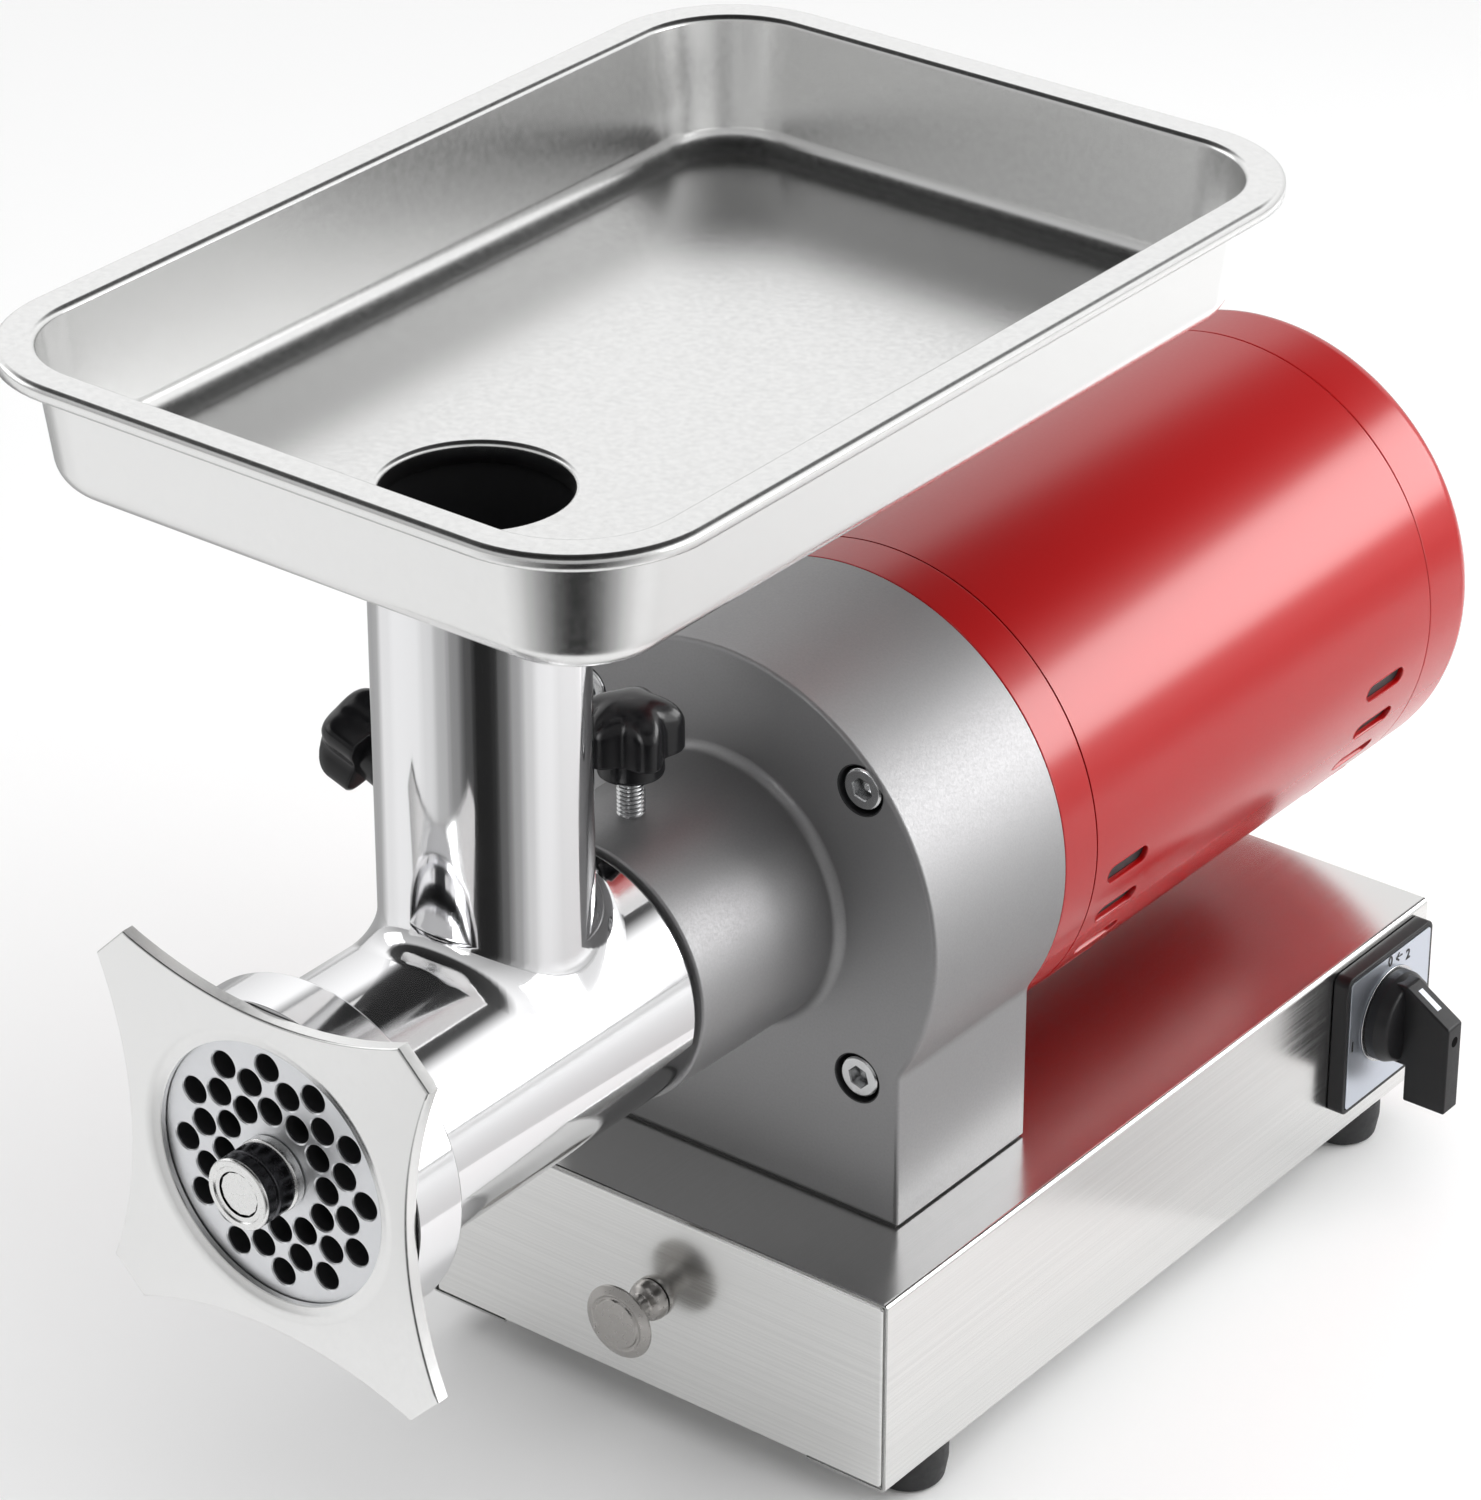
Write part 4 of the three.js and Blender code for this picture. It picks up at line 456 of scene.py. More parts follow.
for centre, edges in pockets:
    for radius, along in ((housing["pocket"] + 0.15, -0.15), (housing["pocket"], -0.5),
                          (housing["pocket"], -housing["pocketDepth"]),
                          (0.05, -housing["pocketDepth"])):
        edges = pull(bm, edges, scaled(centre, forward, radius, along))
# the pockets' walls take the second material: painted shade, added to the recesses' own shade
for face in bm.faces:
    if face not in inside:
        face.material_index = 1
length = housing["neckEnd"] - housing["front"]
curve = [(rootRadius, 0)] + [
    (rootRadius - housing["neckFillet"] * math.sin(a), housing["neckFillet"] * (1 - math.cos(a)))
    for a in (math.pi / 2 * k / 10 for k in range(1, 11))]
lathe(bm, root, forward, curve + [
    (housing["neckFront"], length, 0.8), (housing["spigot"], length, 0.5),
    (housing["spigot"], length - 30)], 160)
bossFoot = housing["neckRoot"] - housing["bossSink"]
lathe(bm, station(clampAhead), clampSide, [
    (0, bossFoot), (housing["boss"] + 0.4, bossFoot), (housing["boss"], housing["bossTop"], 1.4),
    (housing["screwHole"], housing["bossTop"]), (housing["screwHole"], housing["bossTop"] - 6)], 64)
lathe(bm, station(clampAhead), up, [
    (housing["screwHole"], housing["neckFront"] - 3),
    (housing["screwHole"], housing["neckFront"] + 0.15, 0.1),
    (housing["screwHole"] + 1, housing["neckFront"] - 0.2)], 48)
makePiece(bm, "gearHousingCast", "gear_housing", "cast_silver", looks=["painted_shade_inside"], sharp=38)

bolt = {"face": 5.5, "head": 6.45, "headLength": 7.6, "shank": 4, "length": 72, "hex": 3.3, "recess": 4.4,
        "sink": 0.6}
for name, (signX, signZ) in boltPlaces.items():
    centre = station(housing["front"] - bolt["sink"], signX * housing["boltX"],
                     signZ * housing["boltZ"])
    bm = bmesh.new()
    opened = ring(bm, centre, forward, bolt["face"], 64)
    hexagon = ring(bm, centre, forward, bolt["hex"] + 0.35, 6)
    fill(bm, opened + hexagon, forward)
    edges = pull(bm, hexagon, scaled(centre, forward, bolt["hex"], -0.35))
    edges = pull(bm, edges, scaled(centre, forward, bolt["hex"], -bolt["recess"]))
    pull(bm, edges, scaled(centre, forward, 0.05, -bolt["recess"] - 1))
    for radius, along in ((5.9, -0.12), (6.3, -0.45), (bolt["head"], -0.9),
                          (bolt["head"], -bolt["headLength"]), (bolt["shank"], -bolt["headLength"]),
                          (bolt["shank"], 1.5 - bolt["length"]), (bolt["shank"] - 1, -bolt["length"]),
                          (0.05, -bolt["length"])):
        opened = pull(bm, opened, scaled(centre, forward, radius, along))
    makePiece(bm, "housingBolt_" + name, "housing_bolt_" + name, "zinc_steel", sharp=28)
print("Stage 4: housing")

# Motor: front ring, shell with vents, rear cap

motor = {"radius": 74.9, "shellFront": -111.0, "shellRear": -289.7,
         "ring": [(30, -106.1), (30, -95.1), (74.9, -95.1, 0.5), (74.9, -110.7, 0.5), (73.0, -110.7),
                  (73.0, -116.5), (60, -116.5), (60, -106.1)],
         "cap": [(0, -315.3), (74.9, -315.3, 7), (74.9, -290.0, 0.5), (73.0, -290.0), (73.0, -284.0),
                 (70.9, -284.0), (70.9, -308.3), (0, -308.3)]}
centre = station(0)
bm = bmesh.new()
lathe(bm, centre, forward, motor["ring"], 192, closed=True)
makePiece(bm, "motorFrontRing", "motor_front_bell", "red_paint")
bm = bmesh.new()
lathe(bm, centre, forward, motor["cap"], 192)
makePiece(bm, "motorRearCap", "motor_rear_bell", "red_paint")

vent = {"count": 4, "first": -8.8, "step": -11.4, "width": 5.4, "length": 20, "frontInset": 7,
        "rearInset": 13, "lip": 0.7, "shadeLiner": 73.2, "facets": 144}
bm = bmesh.new()
around = motor["radius"]
half = math.pi * around
along = (motor["shellFront"], motor["shellRear"])
addWire(bm, [(at(x, y, 0), 0) for x, y in (
    (-half, along[1]), (half, along[1]), (half, along[0]), (-half, along[0]))], closed=True)
slots = []
rows = (along[0] - vent["frontInset"] - vent["length"] / 2,
        along[1] + vent["rearInset"] + vent["length"] / 2)
for row in rows:
    for i in range(vent["count"]):
        for side in (0, 1):
            turn = math.radians(vent["first"] + vent["step"] * i)
            turn = math.pi - turn if side else turn
            turn = (turn + math.pi) % math.tau - math.pi
            slots.append((turn * around, row))
for x, y in slots:
    w, straight = vent["width"] / 2 + vent["lip"], (vent["length"] - vent["width"]) / 2
    rounded = arc(x, y + straight, w, (math.pi * k / 12 for k in range(13)))
    rounded += arc(x, y - straight, w, (math.pi + math.pi * k / 12 for k in range(13)))
    addWire(bm, [(at(*spot, 0), 0) for spot in rounded], closed=True)
fill(bm, bm.edges[:], up)
cutAcross(bm, [at(-half + 2 * half * k / vent["facets"], 0, 0) for k in range(1, vent["facets"])],
          right)


def toSlot(share, drop):  # towards the middle line of the nearest slot, and down into it
    def move(place):
        x, y = min(slots, key=lambda s: (place.xy - Vector(s) * mm).length)
        reachY = (vent["length"] - vent["width"]) / 2 * mm
        spine = Vector((x * mm, max(y * mm - reachY, min(y * mm + reachY, place.y)), 0))
        out = place - spine
        out.z = 0
        return spine + out.normalized() * share * mm - up * drop * mm
    return move


edges = holeEdges(bm, half, along[1], along[0])
for share, drop in ((vent["width"] / 2 + 0.45, -0.12), (vent["width"] / 2 + 0.15, 0.0),
                    (vent["width"] / 2, 0.35), (vent["width"] / 2, 1.6)):
    edges = pull(bm, edges, toSlot(share, drop))
for vert in bm.verts:  # rolled round the axis
    turn, radius = vert.co.x / mm / around, around + vert.co.z / mm
    vert.co = station(vert.co.y / mm, radius * math.cos(turn), radius * math.sin(turn))
bmesh.ops.remove_doubles(bm, verts=bm.verts, dist=2e-6)
for spot in along:
    edges = [e for e in bm.edges if e.is_boundary
             and all(abs((v.co - centre).dot(forward) - spot * mm) < near for v in e.verts)]
    for radius in (around - 0.3, vent["shadeLiner"]):
        edges = pull(bm, edges, scaled(centre, forward, radius, spot))
# the shell's inner skin takes the second material: painted shade seen through the vents
painted = set(bm.faces)
lathe(bm, centre, forward, [(vent["shadeLiner"], along[0]), (vent["shadeLiner"], along[1])], 96)
for face in bm.faces:
    if face not in painted:
        face.material_index = 1
makePiece(bm, "motorShellRolled", "motor_shell", "red_paint", looks=["painted_shade_inside"], sharp=30,
          exact=radialNormals(centre, forward, around))
print("Stage 5: motor")

# Head: the barrel is a flat sheet with a hole for the tube's foot, then rolled, and the tube grows out of
# the hole

head = {"radius": 39.4, "skin": (29.7, 139), "bore": 34.4, "lining": (37.5, 140), "set": 68.8,
        "tube": 29.1, "tubeBore": 26.8, "flare": 8,
        "mouth": [(39.4, 139), (45.6, 143, 0.6), (45.6, 152, 0.5), (41.3, 152, 0.3), (41.3, 147.5),
                  (39.8, 147.5), (39.8, 141), (34.4, 136)],
        "spigot": [(39.4, 29.7), (39.05, 28.85), (38.2, 28.5), (33, 28.5), (33, -3.5, 1.5),
                   (13, -3.5), (13, 37.5), (34.4, 37.5)],
        "lip": [(29.1, -0.9), (29.1, 0, 0.7), (26.8, 0, 0.7), (26.8, -1.2)]}
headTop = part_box("grinder_head")[1].z / mm - axisZ


def saddle(bm, radius, tube, flare, first, last, count=120):
    flat = radius * math.pi
    border = ((-flat, first), (flat, first), (flat, last), (-flat, last))
    addWire(bm, [(at(x, y, 0), 0) for x, y in border], closed=True)
    foot = tube + flare
    loop = [bm.verts.new(at(radius * math.asin(foot * math.cos(a) / radius),
                            head["set"] + foot * math.sin(a), 0))
            for a in (math.tau * k / 192 for k in range(192))]
    for k in range(192):
        bm.edges.new((loop[k - 1], loop[k]))
    fill(bm, bm.edges[:], up)
    cutAcross(bm, [at(-flat + 2 * flat * k / count, 0, 0) for k in range(1, count)], right)
    cutAcross(bm, [at(0, first + (last - first) * k / 12, 0) for k in range(1, 12)], rearward)
    edges = holeEdges(bm, flat, first, last)
    for vert in bm.verts:
        turn = vert.co.x / mm / radius
        vert.co = station(vert.co.y / mm, radius * math.sin(turn), radius * math.cos(turn))
    heights = [(foot - flare * math.sin(a), flare * (1 - math.cos(a)))
               for a in (math.pi / 2 * k / 14 for k in range(1, 15))] if flare else []
    for reach, rise in heights + [(tube, None)]:
        def move(place):
            out = (place - station(head["set"])).xy.normalized() * reach
            lift = headTop if rise is None else rise + math.sqrt(radius ** 2 - out.x ** 2)
            return station(head["set"], out.x, lift) + Vector((0, out.y * mm, 0))
        edges = pull(bm, edges, move)
    return edges


bm = bmesh.new()
saddle(bm, head["radius"], head["tube"], head["flare"], *head["skin"])
bmesh.ops.remove_doubles(bm, verts=bm.verts, dist=2e-6)
inner = bmesh.new()
saddle(inner, head["bore"], head["tubeBore"], 0, *head["lining"])
# the bore's faces take the second material: painted shade inside the barrel and tube
for face in inner.faces:
    face.material_index = 1
held = bpy.data.meshes.new("held")
inner.to_mesh(held)
inner.free()
bm.from_mesh(held)
bpy.data.meshes.remove(held)
lathe(bm, centre, forward, head["mouth"], 120)
lathe(bm, centre, forward, head["spigot"], 120)
tubeAxis = station(head["set"])
lathe(bm, tubeAxis, up, shifted(head["lip"], headTop), 192)
makePiece(bm, "headPolished", "grinder_head", "polished_steel", looks=["painted_shade_inside"], sharp=35,
          exact=radialNormals(centre, forward, head["radius"]))
print("Stage 6: head")

# Plate, bushing and ring nut

plateRear, plateFront = (faceY - v.y / mm for v in reversed(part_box("grinding_plate")))
plate = {"radius": 41, "middle": 9.9, "rear": 20, "hole": 4, "rings": (17.7, 25.1, 30.8), "count": 12,
         "phase": 2.5, "chamfer": 0.35}
bm = bmesh.new()
centreFront = station(plateFront)
edges = ring(bm, centreFront, forward, plate["radius"] - 0.6, 128)
middle = ring(bm, centreFront, forward, plate["middle"], 96)
holes = []
for index, radius in enumerate(plate["rings"]):
    for k in range(plate["count"]):
        angle = math.radians(plate["phase"] + 30 * (k + (index % 2) / 2))
        spot = station(plateFront, radius * math.cos(angle), radius * math.sin(angle))
        holes.append((spot, ring(bm, spot, forward, plate["hole"] + plate["chamfer"], 32)))
fill(bm, edges + middle + [e for spot, loop in holes for e in loop], forward)
for spot, loop in holes:
    for along in (-plate["chamfer"], -0.9):
        loop = pull(bm, loop, scaled(spot, forward, plate["hole"], along))
    shown = set(bm.faces)
    loop = pull(bm, loop, scaled(spot, forward, plate["hole"], plateRear - plateFront))
    for face in set(bm.faces) - shown:  # painted shade: the holes' deep walls take the second material, so they look black from outside
        face.material_index = 1
for radius, along in ((plate["radius"] - 0.1, -0.5), (plate["radius"] - 0.1, plateRear - plateFront),
                      (plate["rear"], plateRear - plateFront)):
    edges = pull(bm, edges, scaled(centreFront, forward, radius, along))
pull(bm, middle, scaled(centreFront, forward, plate["middle"], plateRear - plateFront))
makePiece(bm, "grindingPlateDrilled", "grinding_plate", "plate_steel", looks=["painted_shade_inside"],
          sharp=35)

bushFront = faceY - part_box("plate_bushing")[0].y / mm
bush = {"rear": [(6.6, 0.3), (9.4, 0.3)],
        "front": [(9.4, 0.3), (10.6, 0.3, 0.3), (10.6, 3.0, 0.5), (9.9, 3.4), (9.9, 3.8), (10.3, 4.1, 0.3)],
        "nose": [(10.3, -5.2, 0.3), (9.7, -4.9), (9.7, -4.2), (10.3, -3.9, 0.3), (10.3, 0, 0.9),
                 (8.3, 0, 0.2), (7.9, -0.5, 0.2), (6.6, -0.5)]}
bm = bmesh.new()
lathe(bm, centre, forward, shifted(bush["rear"], plateRear) + shifted(bush["front"], plateFront)
      + shifted(bush["nose"], bushFront), 96, closed=True)
for face in bm.faces:
    along = (face.calc_center_median() - centre).dot(forward) / mm
    if along < plateFront + 3.3 or along > bushFront - 0.9:
        face.material_index = 1
makePiece(bm, "plateBushingTurned", "plate_bushing", "dark_steel", looks=["satin_steel"], sharp=35)

flangeRear, flangeFront = (faceY - v.y / mm for v in reversed(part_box("ring_nut_flange")))
flange = {"half": 56.7, "corner": 46.9, "hollow": 9, "opening": 38, "dish": 43.2, "edge": 0.7}
bm = bmesh.new()
reach = (flange["corner"] ** 2 + flange["hollow"] ** 2) / (2 * flange["hollow"])
spread = math.asin(flange["corner"] / reach)
offset = flange["half"] + reach - flange["hollow"]
outline = []
for k in range(4):
    out = math.pi / 2 * k
    outline += arc(offset * math.cos(out), offset * math.sin(out), reach,
                   (out + math.pi + spread * (1 - 2 * i / 36) for i in range(37)))
addWire(bm, [(station(flangeRear, x, z), 0) for x, z in outline], closed=True)
bmesh.ops.remove_doubles(bm, verts=bm.verts, dist=1e-6)
rearEdges = bm.edges[:]
front = pull(bm, rearEdges,
             lambda place: place + forward * (flangeFront - flangeRear - flange["edge"]) * mm)
face = capped(bm, front, forward)
roundedFace(bm, face, flange["edge"], 3)
opened = face.edges[:]
bmesh.ops.delete(bm, geom=[face], context="FACES_ONLY")
spot = station(flangeFront)
lip = ring(bm, spot, forward, flange["dish"], 160)
fill(bm, opened + lip, forward)
for radius, along in ((42.4, -0.04), (41.4, -0.22), (40.3, -0.6), (39.3, -1.05), (38.5, -1.25),
                      (38.05, -1.5), (flange["opening"], -1.8), (flange["opening"], -3.1)):
    lip = pull(bm, lip, scaled(spot, forward, radius, along))
back = ring(bm, station(flangeRear), forward, flange["opening"], 160)
fill(bm, rearEdges + back, rearward)
makePiece(bm, "ringNutFlangeSheet", "ring_nut_flange", "satin_steel", look="tray_steel", sharp=32)

collarRear, collarFront = (faceY - v.y / mm for v in reversed(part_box("ring_nut_collar")))
collar = {"bore": 46, "radius": 48.8}
bm = bmesh.new()
lathe(bm, centre, forward, [
    (collar["bore"], collarRear), (collar["radius"], collarRear, 1.2),
    (collar["radius"], collarFront, 0.3), (collar["bore"], collarFront)], 160, closed=True)
makePiece(bm, "ringNutCollarTurned", "ring_nut_collar", "polished_steel")
print("Stage 7: plate and ring nut")

# Tray: a rounded rectangle of edges, pulled along the pan's section

tray = {"front": 153.5, "back": -167.1, "half": 109.5, "corner": 40, "sheet": 1.2, "depth": 38.7,
        "rim": 10.5, "draft": 4.5, "wall": 28, "fillet": 8, "rimFillet": 1.9, "rimStart": 0.6,
        "roll": 3.8, "rimHigh": 1.9, "hole": 25.3, "collar": 6}
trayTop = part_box("tray")[1].z / mm
trayFloor = trayTop - tray["depth"]
bm = bmesh.new()
inset = tray["rim"] + tray["draft"]
middle = Vector((axisX, faceY - (tray["front"] + tray["back"]) / 2)) * mm
halfBox = Vector((tray["half"] - tray["corner"],
                  (tray["front"] - tray["back"]) / 2 - tray["corner"])) * mm


def panLoop(inset, height):  # a move for pull: to that inset from the rim's edge, at that height
    def move(place):
        flat = place.xy - middle
        core = Vector((max(-halfBox.x, min(halfBox.x, flat.x)),
                       max(-halfBox.y, min(halfBox.y, flat.y))))
        spot = middle + core + (flat - core).normalized() * (tray["corner"] - inset) * mm
        return Vector((spot.x, spot.y, height * mm))
    return move


startInset = inset + tray["fillet"] + 0.2
cornerNow = tray["corner"] - startInset
reachX, reachY = (side / mm + cornerNow for side in halfBox)
addWire(bm, [(Vector((middle.x + a * reachX * mm, middle.y + b * reachY * mm, trayFloor * mm)),
              cornerNow) for a, b in ((-1, -1), (1, -1), (1, 1), (-1, 1))], closed=True, quarter=18)
floorLoop = bm.edges[:]
section = []
lean = math.atan(tray["draft"] / tray["wall"])
for k in range(11):  # bottom fillet, up to the wall's lean
    a = (math.pi / 2 - lean) * k / 10
    section.append((inset + tray["fillet"] * (1 - math.sin(a)),
                    trayFloor + tray["fillet"] * (1 - math.cos(a))))
for k in range(7):  # fillet from the wall onto the flat rim
    a = lean + (math.pi / 2 - lean) * k / 6
    section.append((tray["rim"] + tray["rimStart"] - tray["rimHigh"] * (1 - math.cos(a)),
                    trayTop - tray["rimHigh"] * (1 - math.sin(a))))
for k in range(9):  # rolled edge
    a = math.pi / 2 * k / 8
    section.append((tray["rimFillet"] * (1 - math.sin(a)),
                    trayTop - tray["rimFillet"] * (1 - math.cos(a))))
section.append((0, trayTop - tray["roll"]))
edges = floorLoop
for insetNow, height in section:
    edges = pull(bm, edges, panLoop(insetNow, height))
hub = Vector((tubeAxis.x, tubeAxis.y, trayFloor * mm))
opening = ring(bm, hub, up, tray["hole"] + 1.6, 128)
fill(bm, floorLoop + opening, up)
for radius, along in ((tray["hole"] + 1.15, -0.06), (tray["hole"] + 0.6, -0.35),
                      (tray["hole"] + 0.2, -0.8), (tray["hole"], -1.6),
                      (tray["hole"], -tray["collar"])):
    opening = pull(bm, opening, scaled(hub, up, radius, along))
bmesh.ops.remove_doubles(bm, verts=bm.verts, dist=2e-6)
bmesh.ops.recalc_face_normals(bm, faces=bm.faces)
if sum(f.normal.z * f.calc_area() for f in bm.faces) < 0:
    bmesh.ops.reverse_faces(bm, faces=bm.faces)
pan = makePiece(bm, "trayPressed", "tray", "satin_steel", look="tray_steel", sharp=40, cleaned=False,
                weighted=False)
thicken(pan, tray["sheet"])
print("Stage 8: tray")

# Clamp screws: threaded stud and star grip

clamp = {"root": 3.3, "crest": 3.98, "core": 3.4, "pitch": 1.25, "studFoot": 33.4, "hub": 9.5,
         "hubHeight": 5.8, "height": 17, "mean": 12.9, "wave": 2.1, "lobes": 5, "calm": 0.35}


def thread(bm, base, axis, start, end):
    side = axis.orthogonal().normalized()
    turns = math.ceil((end - start) / clamp["pitch"])
    steps = 28
    old = set(bm.verts)
    addWire(bm, [(base + (axis * (start + step) + side * radius) * mm, 0)
                 for radius, step in ((clamp["root"], 0), (clamp["crest"], 0.5),
                                      (clamp["crest"], 0.75), (clamp["root"], clamp["pitch"]))])
    geom = [v for v in bm.verts if v not in old]
    geom += list({e for v in geom for e in v.link_edges})
    bmesh.ops.spin(bm, geom=geom, cent=base, axis=axis, dvec=axis * clamp["pitch"] * mm / steps,
                   angle=math.tau * turns, steps=steps * turns, use_merge=False,
                   use_normal_flip=False, use_duplicate=False)
    bmesh.ops.remove_doubles(bm, verts=[v for v in bm.verts if v not in old], dist=4e-6)


def starMove(centre, axis, share, along):
    side = axis.orthogonal().normalized()
    across = axis.cross(side)

    def move(place):
        out = place - centre
        turn = math.atan2(out.dot(across), out.dot(side))
        wave = max(0.0, (share - clamp["calm"]) / (1 - clamp["calm"])) if share < 1 else 1.0
        radius = share * (clamp["mean"] + wave * clamp["wave"] * math.cos(clamp["lobes"] * turn))
        spoke = side * math.cos(turn) + across * math.sin(turn)
        return centre + spoke * radius * mm + axis * along * mm
    return move


def starGrip(name, node, axis, foot):
    bm = bmesh.new()
    lathe(bm, foot, axis, [
        (4.2, 0), (clamp["hub"], 0, 0.9), (clamp["hub"] - 0.3, clamp["hubHeight"] + 0.6)], 100)
    edges = ring(bm, foot, axis, clamp["hub"] - 0.3, 100)
    low, top = clamp["hubHeight"], clamp["hubHeight"] + clamp["height"]
    for share, along in ((0.6, low + 0.2), (0.93, low + 0.15), (0.975, low + 0.4), (1.0, low + 1.1),
                         (1.0, top - 8.6), (0.99, top - 7.4), (0.965, top - 6.2), (0.925, top - 5.0),
                         (0.87, top - 3.9), (0.79, top - 2.8), (0.69, top - 1.9), (0.57, top - 1.1),
                         (0.43, top - 0.5), (0.28, top - 0.2), (0.12, top)):
        edges = pull(bm, edges, starMove(foot, axis, share, along))
    bmesh.ops.contextual_create(bm, geom=edges)
    makePiece(bm, name, node, "black_plastic", sharp=48)


for prefix, axis, surface, exposed in (("top", up, 40.4, 13.4), ("side", clampSide, 63.4, 26.5)):
    hubPlace = station(clampAhead)
    reach = surface + exposed
    bm = bmesh.new()
    lathe(bm, hubPlace, axis, [
        (0, clamp["studFoot"]), (2.8, clamp["studFoot"], 0.3), (clamp["core"], clamp["studFoot"] + 1),
        (clamp["core"], reach + 8), (0, reach + 8)], 56)
    thread(bm, hubPlace, axis, clamp["studFoot"] + 1, reach + 2)
    makePiece(bm, prefix + "ClampThread", prefix + "_clamp_stud", "zinc_steel", sharp=40)
    starGrip(prefix + "ClampStar", prefix + "_clamp_grip", axis, hubPlace + axis * reach * mm)
print("Stage 9: clamp screws")

# Switch: bezel, face plate with signs, handle

bezelLow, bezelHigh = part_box("switch_bezel")
wallX = baseHigh.x / mm
switchY, switchZ = (v / mm for v in ((bezelLow + bezelHigh) / 2).yz)


def onWall(out, ahead, height):  # a place by its distance out from the side wall and from the switch's axis
    return at(wallX + out, switchY - ahead, switchZ + height)


switch = {"half": 24.5, "drop": 2.2, "aside": 0.4, "depth": 5.5, "corner": 3, "frame": 1.5,
          "plateOut": 5.75, "foot": 6.2,
          "ring": [(14.9, 5.85), (16.0, 5.85, 0.2), (15.7, 6.15, 0.1), (14.9, 6.15)]}


def square(bm, out, half, radius):
    old = set(bm.edges)
    addWire(bm, [(onWall(out, a * half - switch["aside"], b * half - switch["drop"]), radius)
                 for a, b in ((-1, -1), (1, -1), (1, 1), (-1, 1))], closed=True)
    return [e for e in bm.edges if e not in old]


bm = bmesh.new()
outer = square(bm, 0.35, switch["half"], switch["corner"])
edges = pull(bm, outer, lambda place: place + right * (switch["depth"] - 0.9) * mm)
face = capped(bm, edges, right)
roundedFace(bm, face, 0.5, 3)
for thickness, depth in ((switch["frame"] - 0.5, 0), (0.05, -0.5)):
    bmesh.ops.inset_individual(bm, faces=[face], thickness=thickness * mm, depth=depth * mm,
                               use_even_offset=True)
makePiece(bm, "switchBezelFrame", "switch_bezel", "black_plastic", look="satin_black", sharp=32)
bm = bmesh.new()
outer = square(bm, switch["plateOut"] - 0.75, switch["half"] - switch["frame"] - 0.25,
               switch["corner"] - switch["frame"])
edges = pull(bm, outer, lambda place: place + right * 0.6 * mm)
roundedFace(bm, capped(bm, edges, right), 0.12, 2)
makePiece(bm, "switchFacePlate", "switch_plate", "silver_plate", sharp=30)

handle = {"half": 4, "reach": 23.9, "top": 14, "slope": 4, "tail": 26.5, "start": 9, "edge": 0.7,
          "disc": 14.8, "discHeight": 8, "mark": (8.6, 2.2, 0.14), "markAhead": 7.4, "hole": 1.75}
foot = switch["foot"] - 0.15
bm = bmesh.new()
discTop = foot + handle["discHeight"]
lathe(bm, onWall(0, 0, 0), right, [
    (0, foot), (handle["disc"], foot, 0.3), (handle["disc"], foot + 3.4, 0.5),
    (handle["disc"] - 1.6, foot + 7.2, 1.5), (handle["disc"] - 5, discTop), (0, discTop)], 96)
gripTop, gripStart = foot + handle["reach"], foot + handle["start"]
grip = [(foot + 0.8, handle["top"]), (discTop, handle["top"]), (gripTop, handle["slope"]),
        (gripTop, -handle["tail"]), (gripStart, -handle["tail"]), (gripStart, -handle["top"]),
        (foot + 0.8, -handle["top"])]
old = set(bm.edges)
addWire(bm, [(onWall(x, -handle["half"], z), 0) for x, z in grip], closed=True)
edges = [e for e in bm.edges if e not in old]
blade = bmesh.ops.contextual_create(bm, geom=edges)["faces"]
moved = vertsIn(bmesh.ops.extrude_face_region(bm, geom=blade)["geom"])
for vert in moved:
    vert.co += forward * 2 * handle["half"] * mm
body = {v for f in blade for v in f.verts} | set(moved)
bevelled = [e for e in bm.edges if e.verts[0] in body and e.verts[1] in body]
bmesh.ops.bevel(bm, geom=bevelled, offset=handle["edge"] * mm, offset_type="OFFSET", segments=3,
                profile=0.5, affect="EDGES", clamp_overlap=True, material=-1)
makePiece(bm, "switchHandleMoulded", "switch_handle", "black_plastic", look="satin_black", sharp=34)

bm = bmesh.new()
lathe(bm, onWall(0, 0, 0), right, switch["ring"], 96, closed=True)
makePiece(bm, "switchRing", None, "zinc_steel", body="base", sharp=40)

bm = bmesh.new()
slopeTop = onWall(discTop, 0, handle["top"])
run = (onWall(gripTop, 0, handle["slope"]) - slopeTop).normalized()
lift = Vector((-run.z, 0, run.x))
lift = lift if lift.z > 0 else -lift
markPlace = Matrix.Translation(slopeTop + run * handle["markAhead"] * mm + lift * 0.02 * mm)
markTurn = Matrix((run, forward, lift)).transposed().to_4x4()
markSize = Matrix.Diagonal((*(side * mm for side in handle["mark"]), 1))
bmesh.ops.create_cube(bm, size=1, matrix=markPlace @ markTurn @ markSize)
makePiece(bm, "handleMark", None, "silver_plate", look="white_mark", body="switch_knob", sharp=20)
# a thin black disc on the grip's end: painted shade standing for a hole
bm = bmesh.new()
lathe(bm, onWall(gripTop - 0.05, 0, -1.6), right, [
    (0, 0.06), (handle["hole"], 0.06), (handle["hole"], 0.02), (0, 0.02)], 32)
makePiece(bm, "handleHoleShade", None, "black_plastic", look="painted_hole_shade", body="switch_knob", sharp=20)


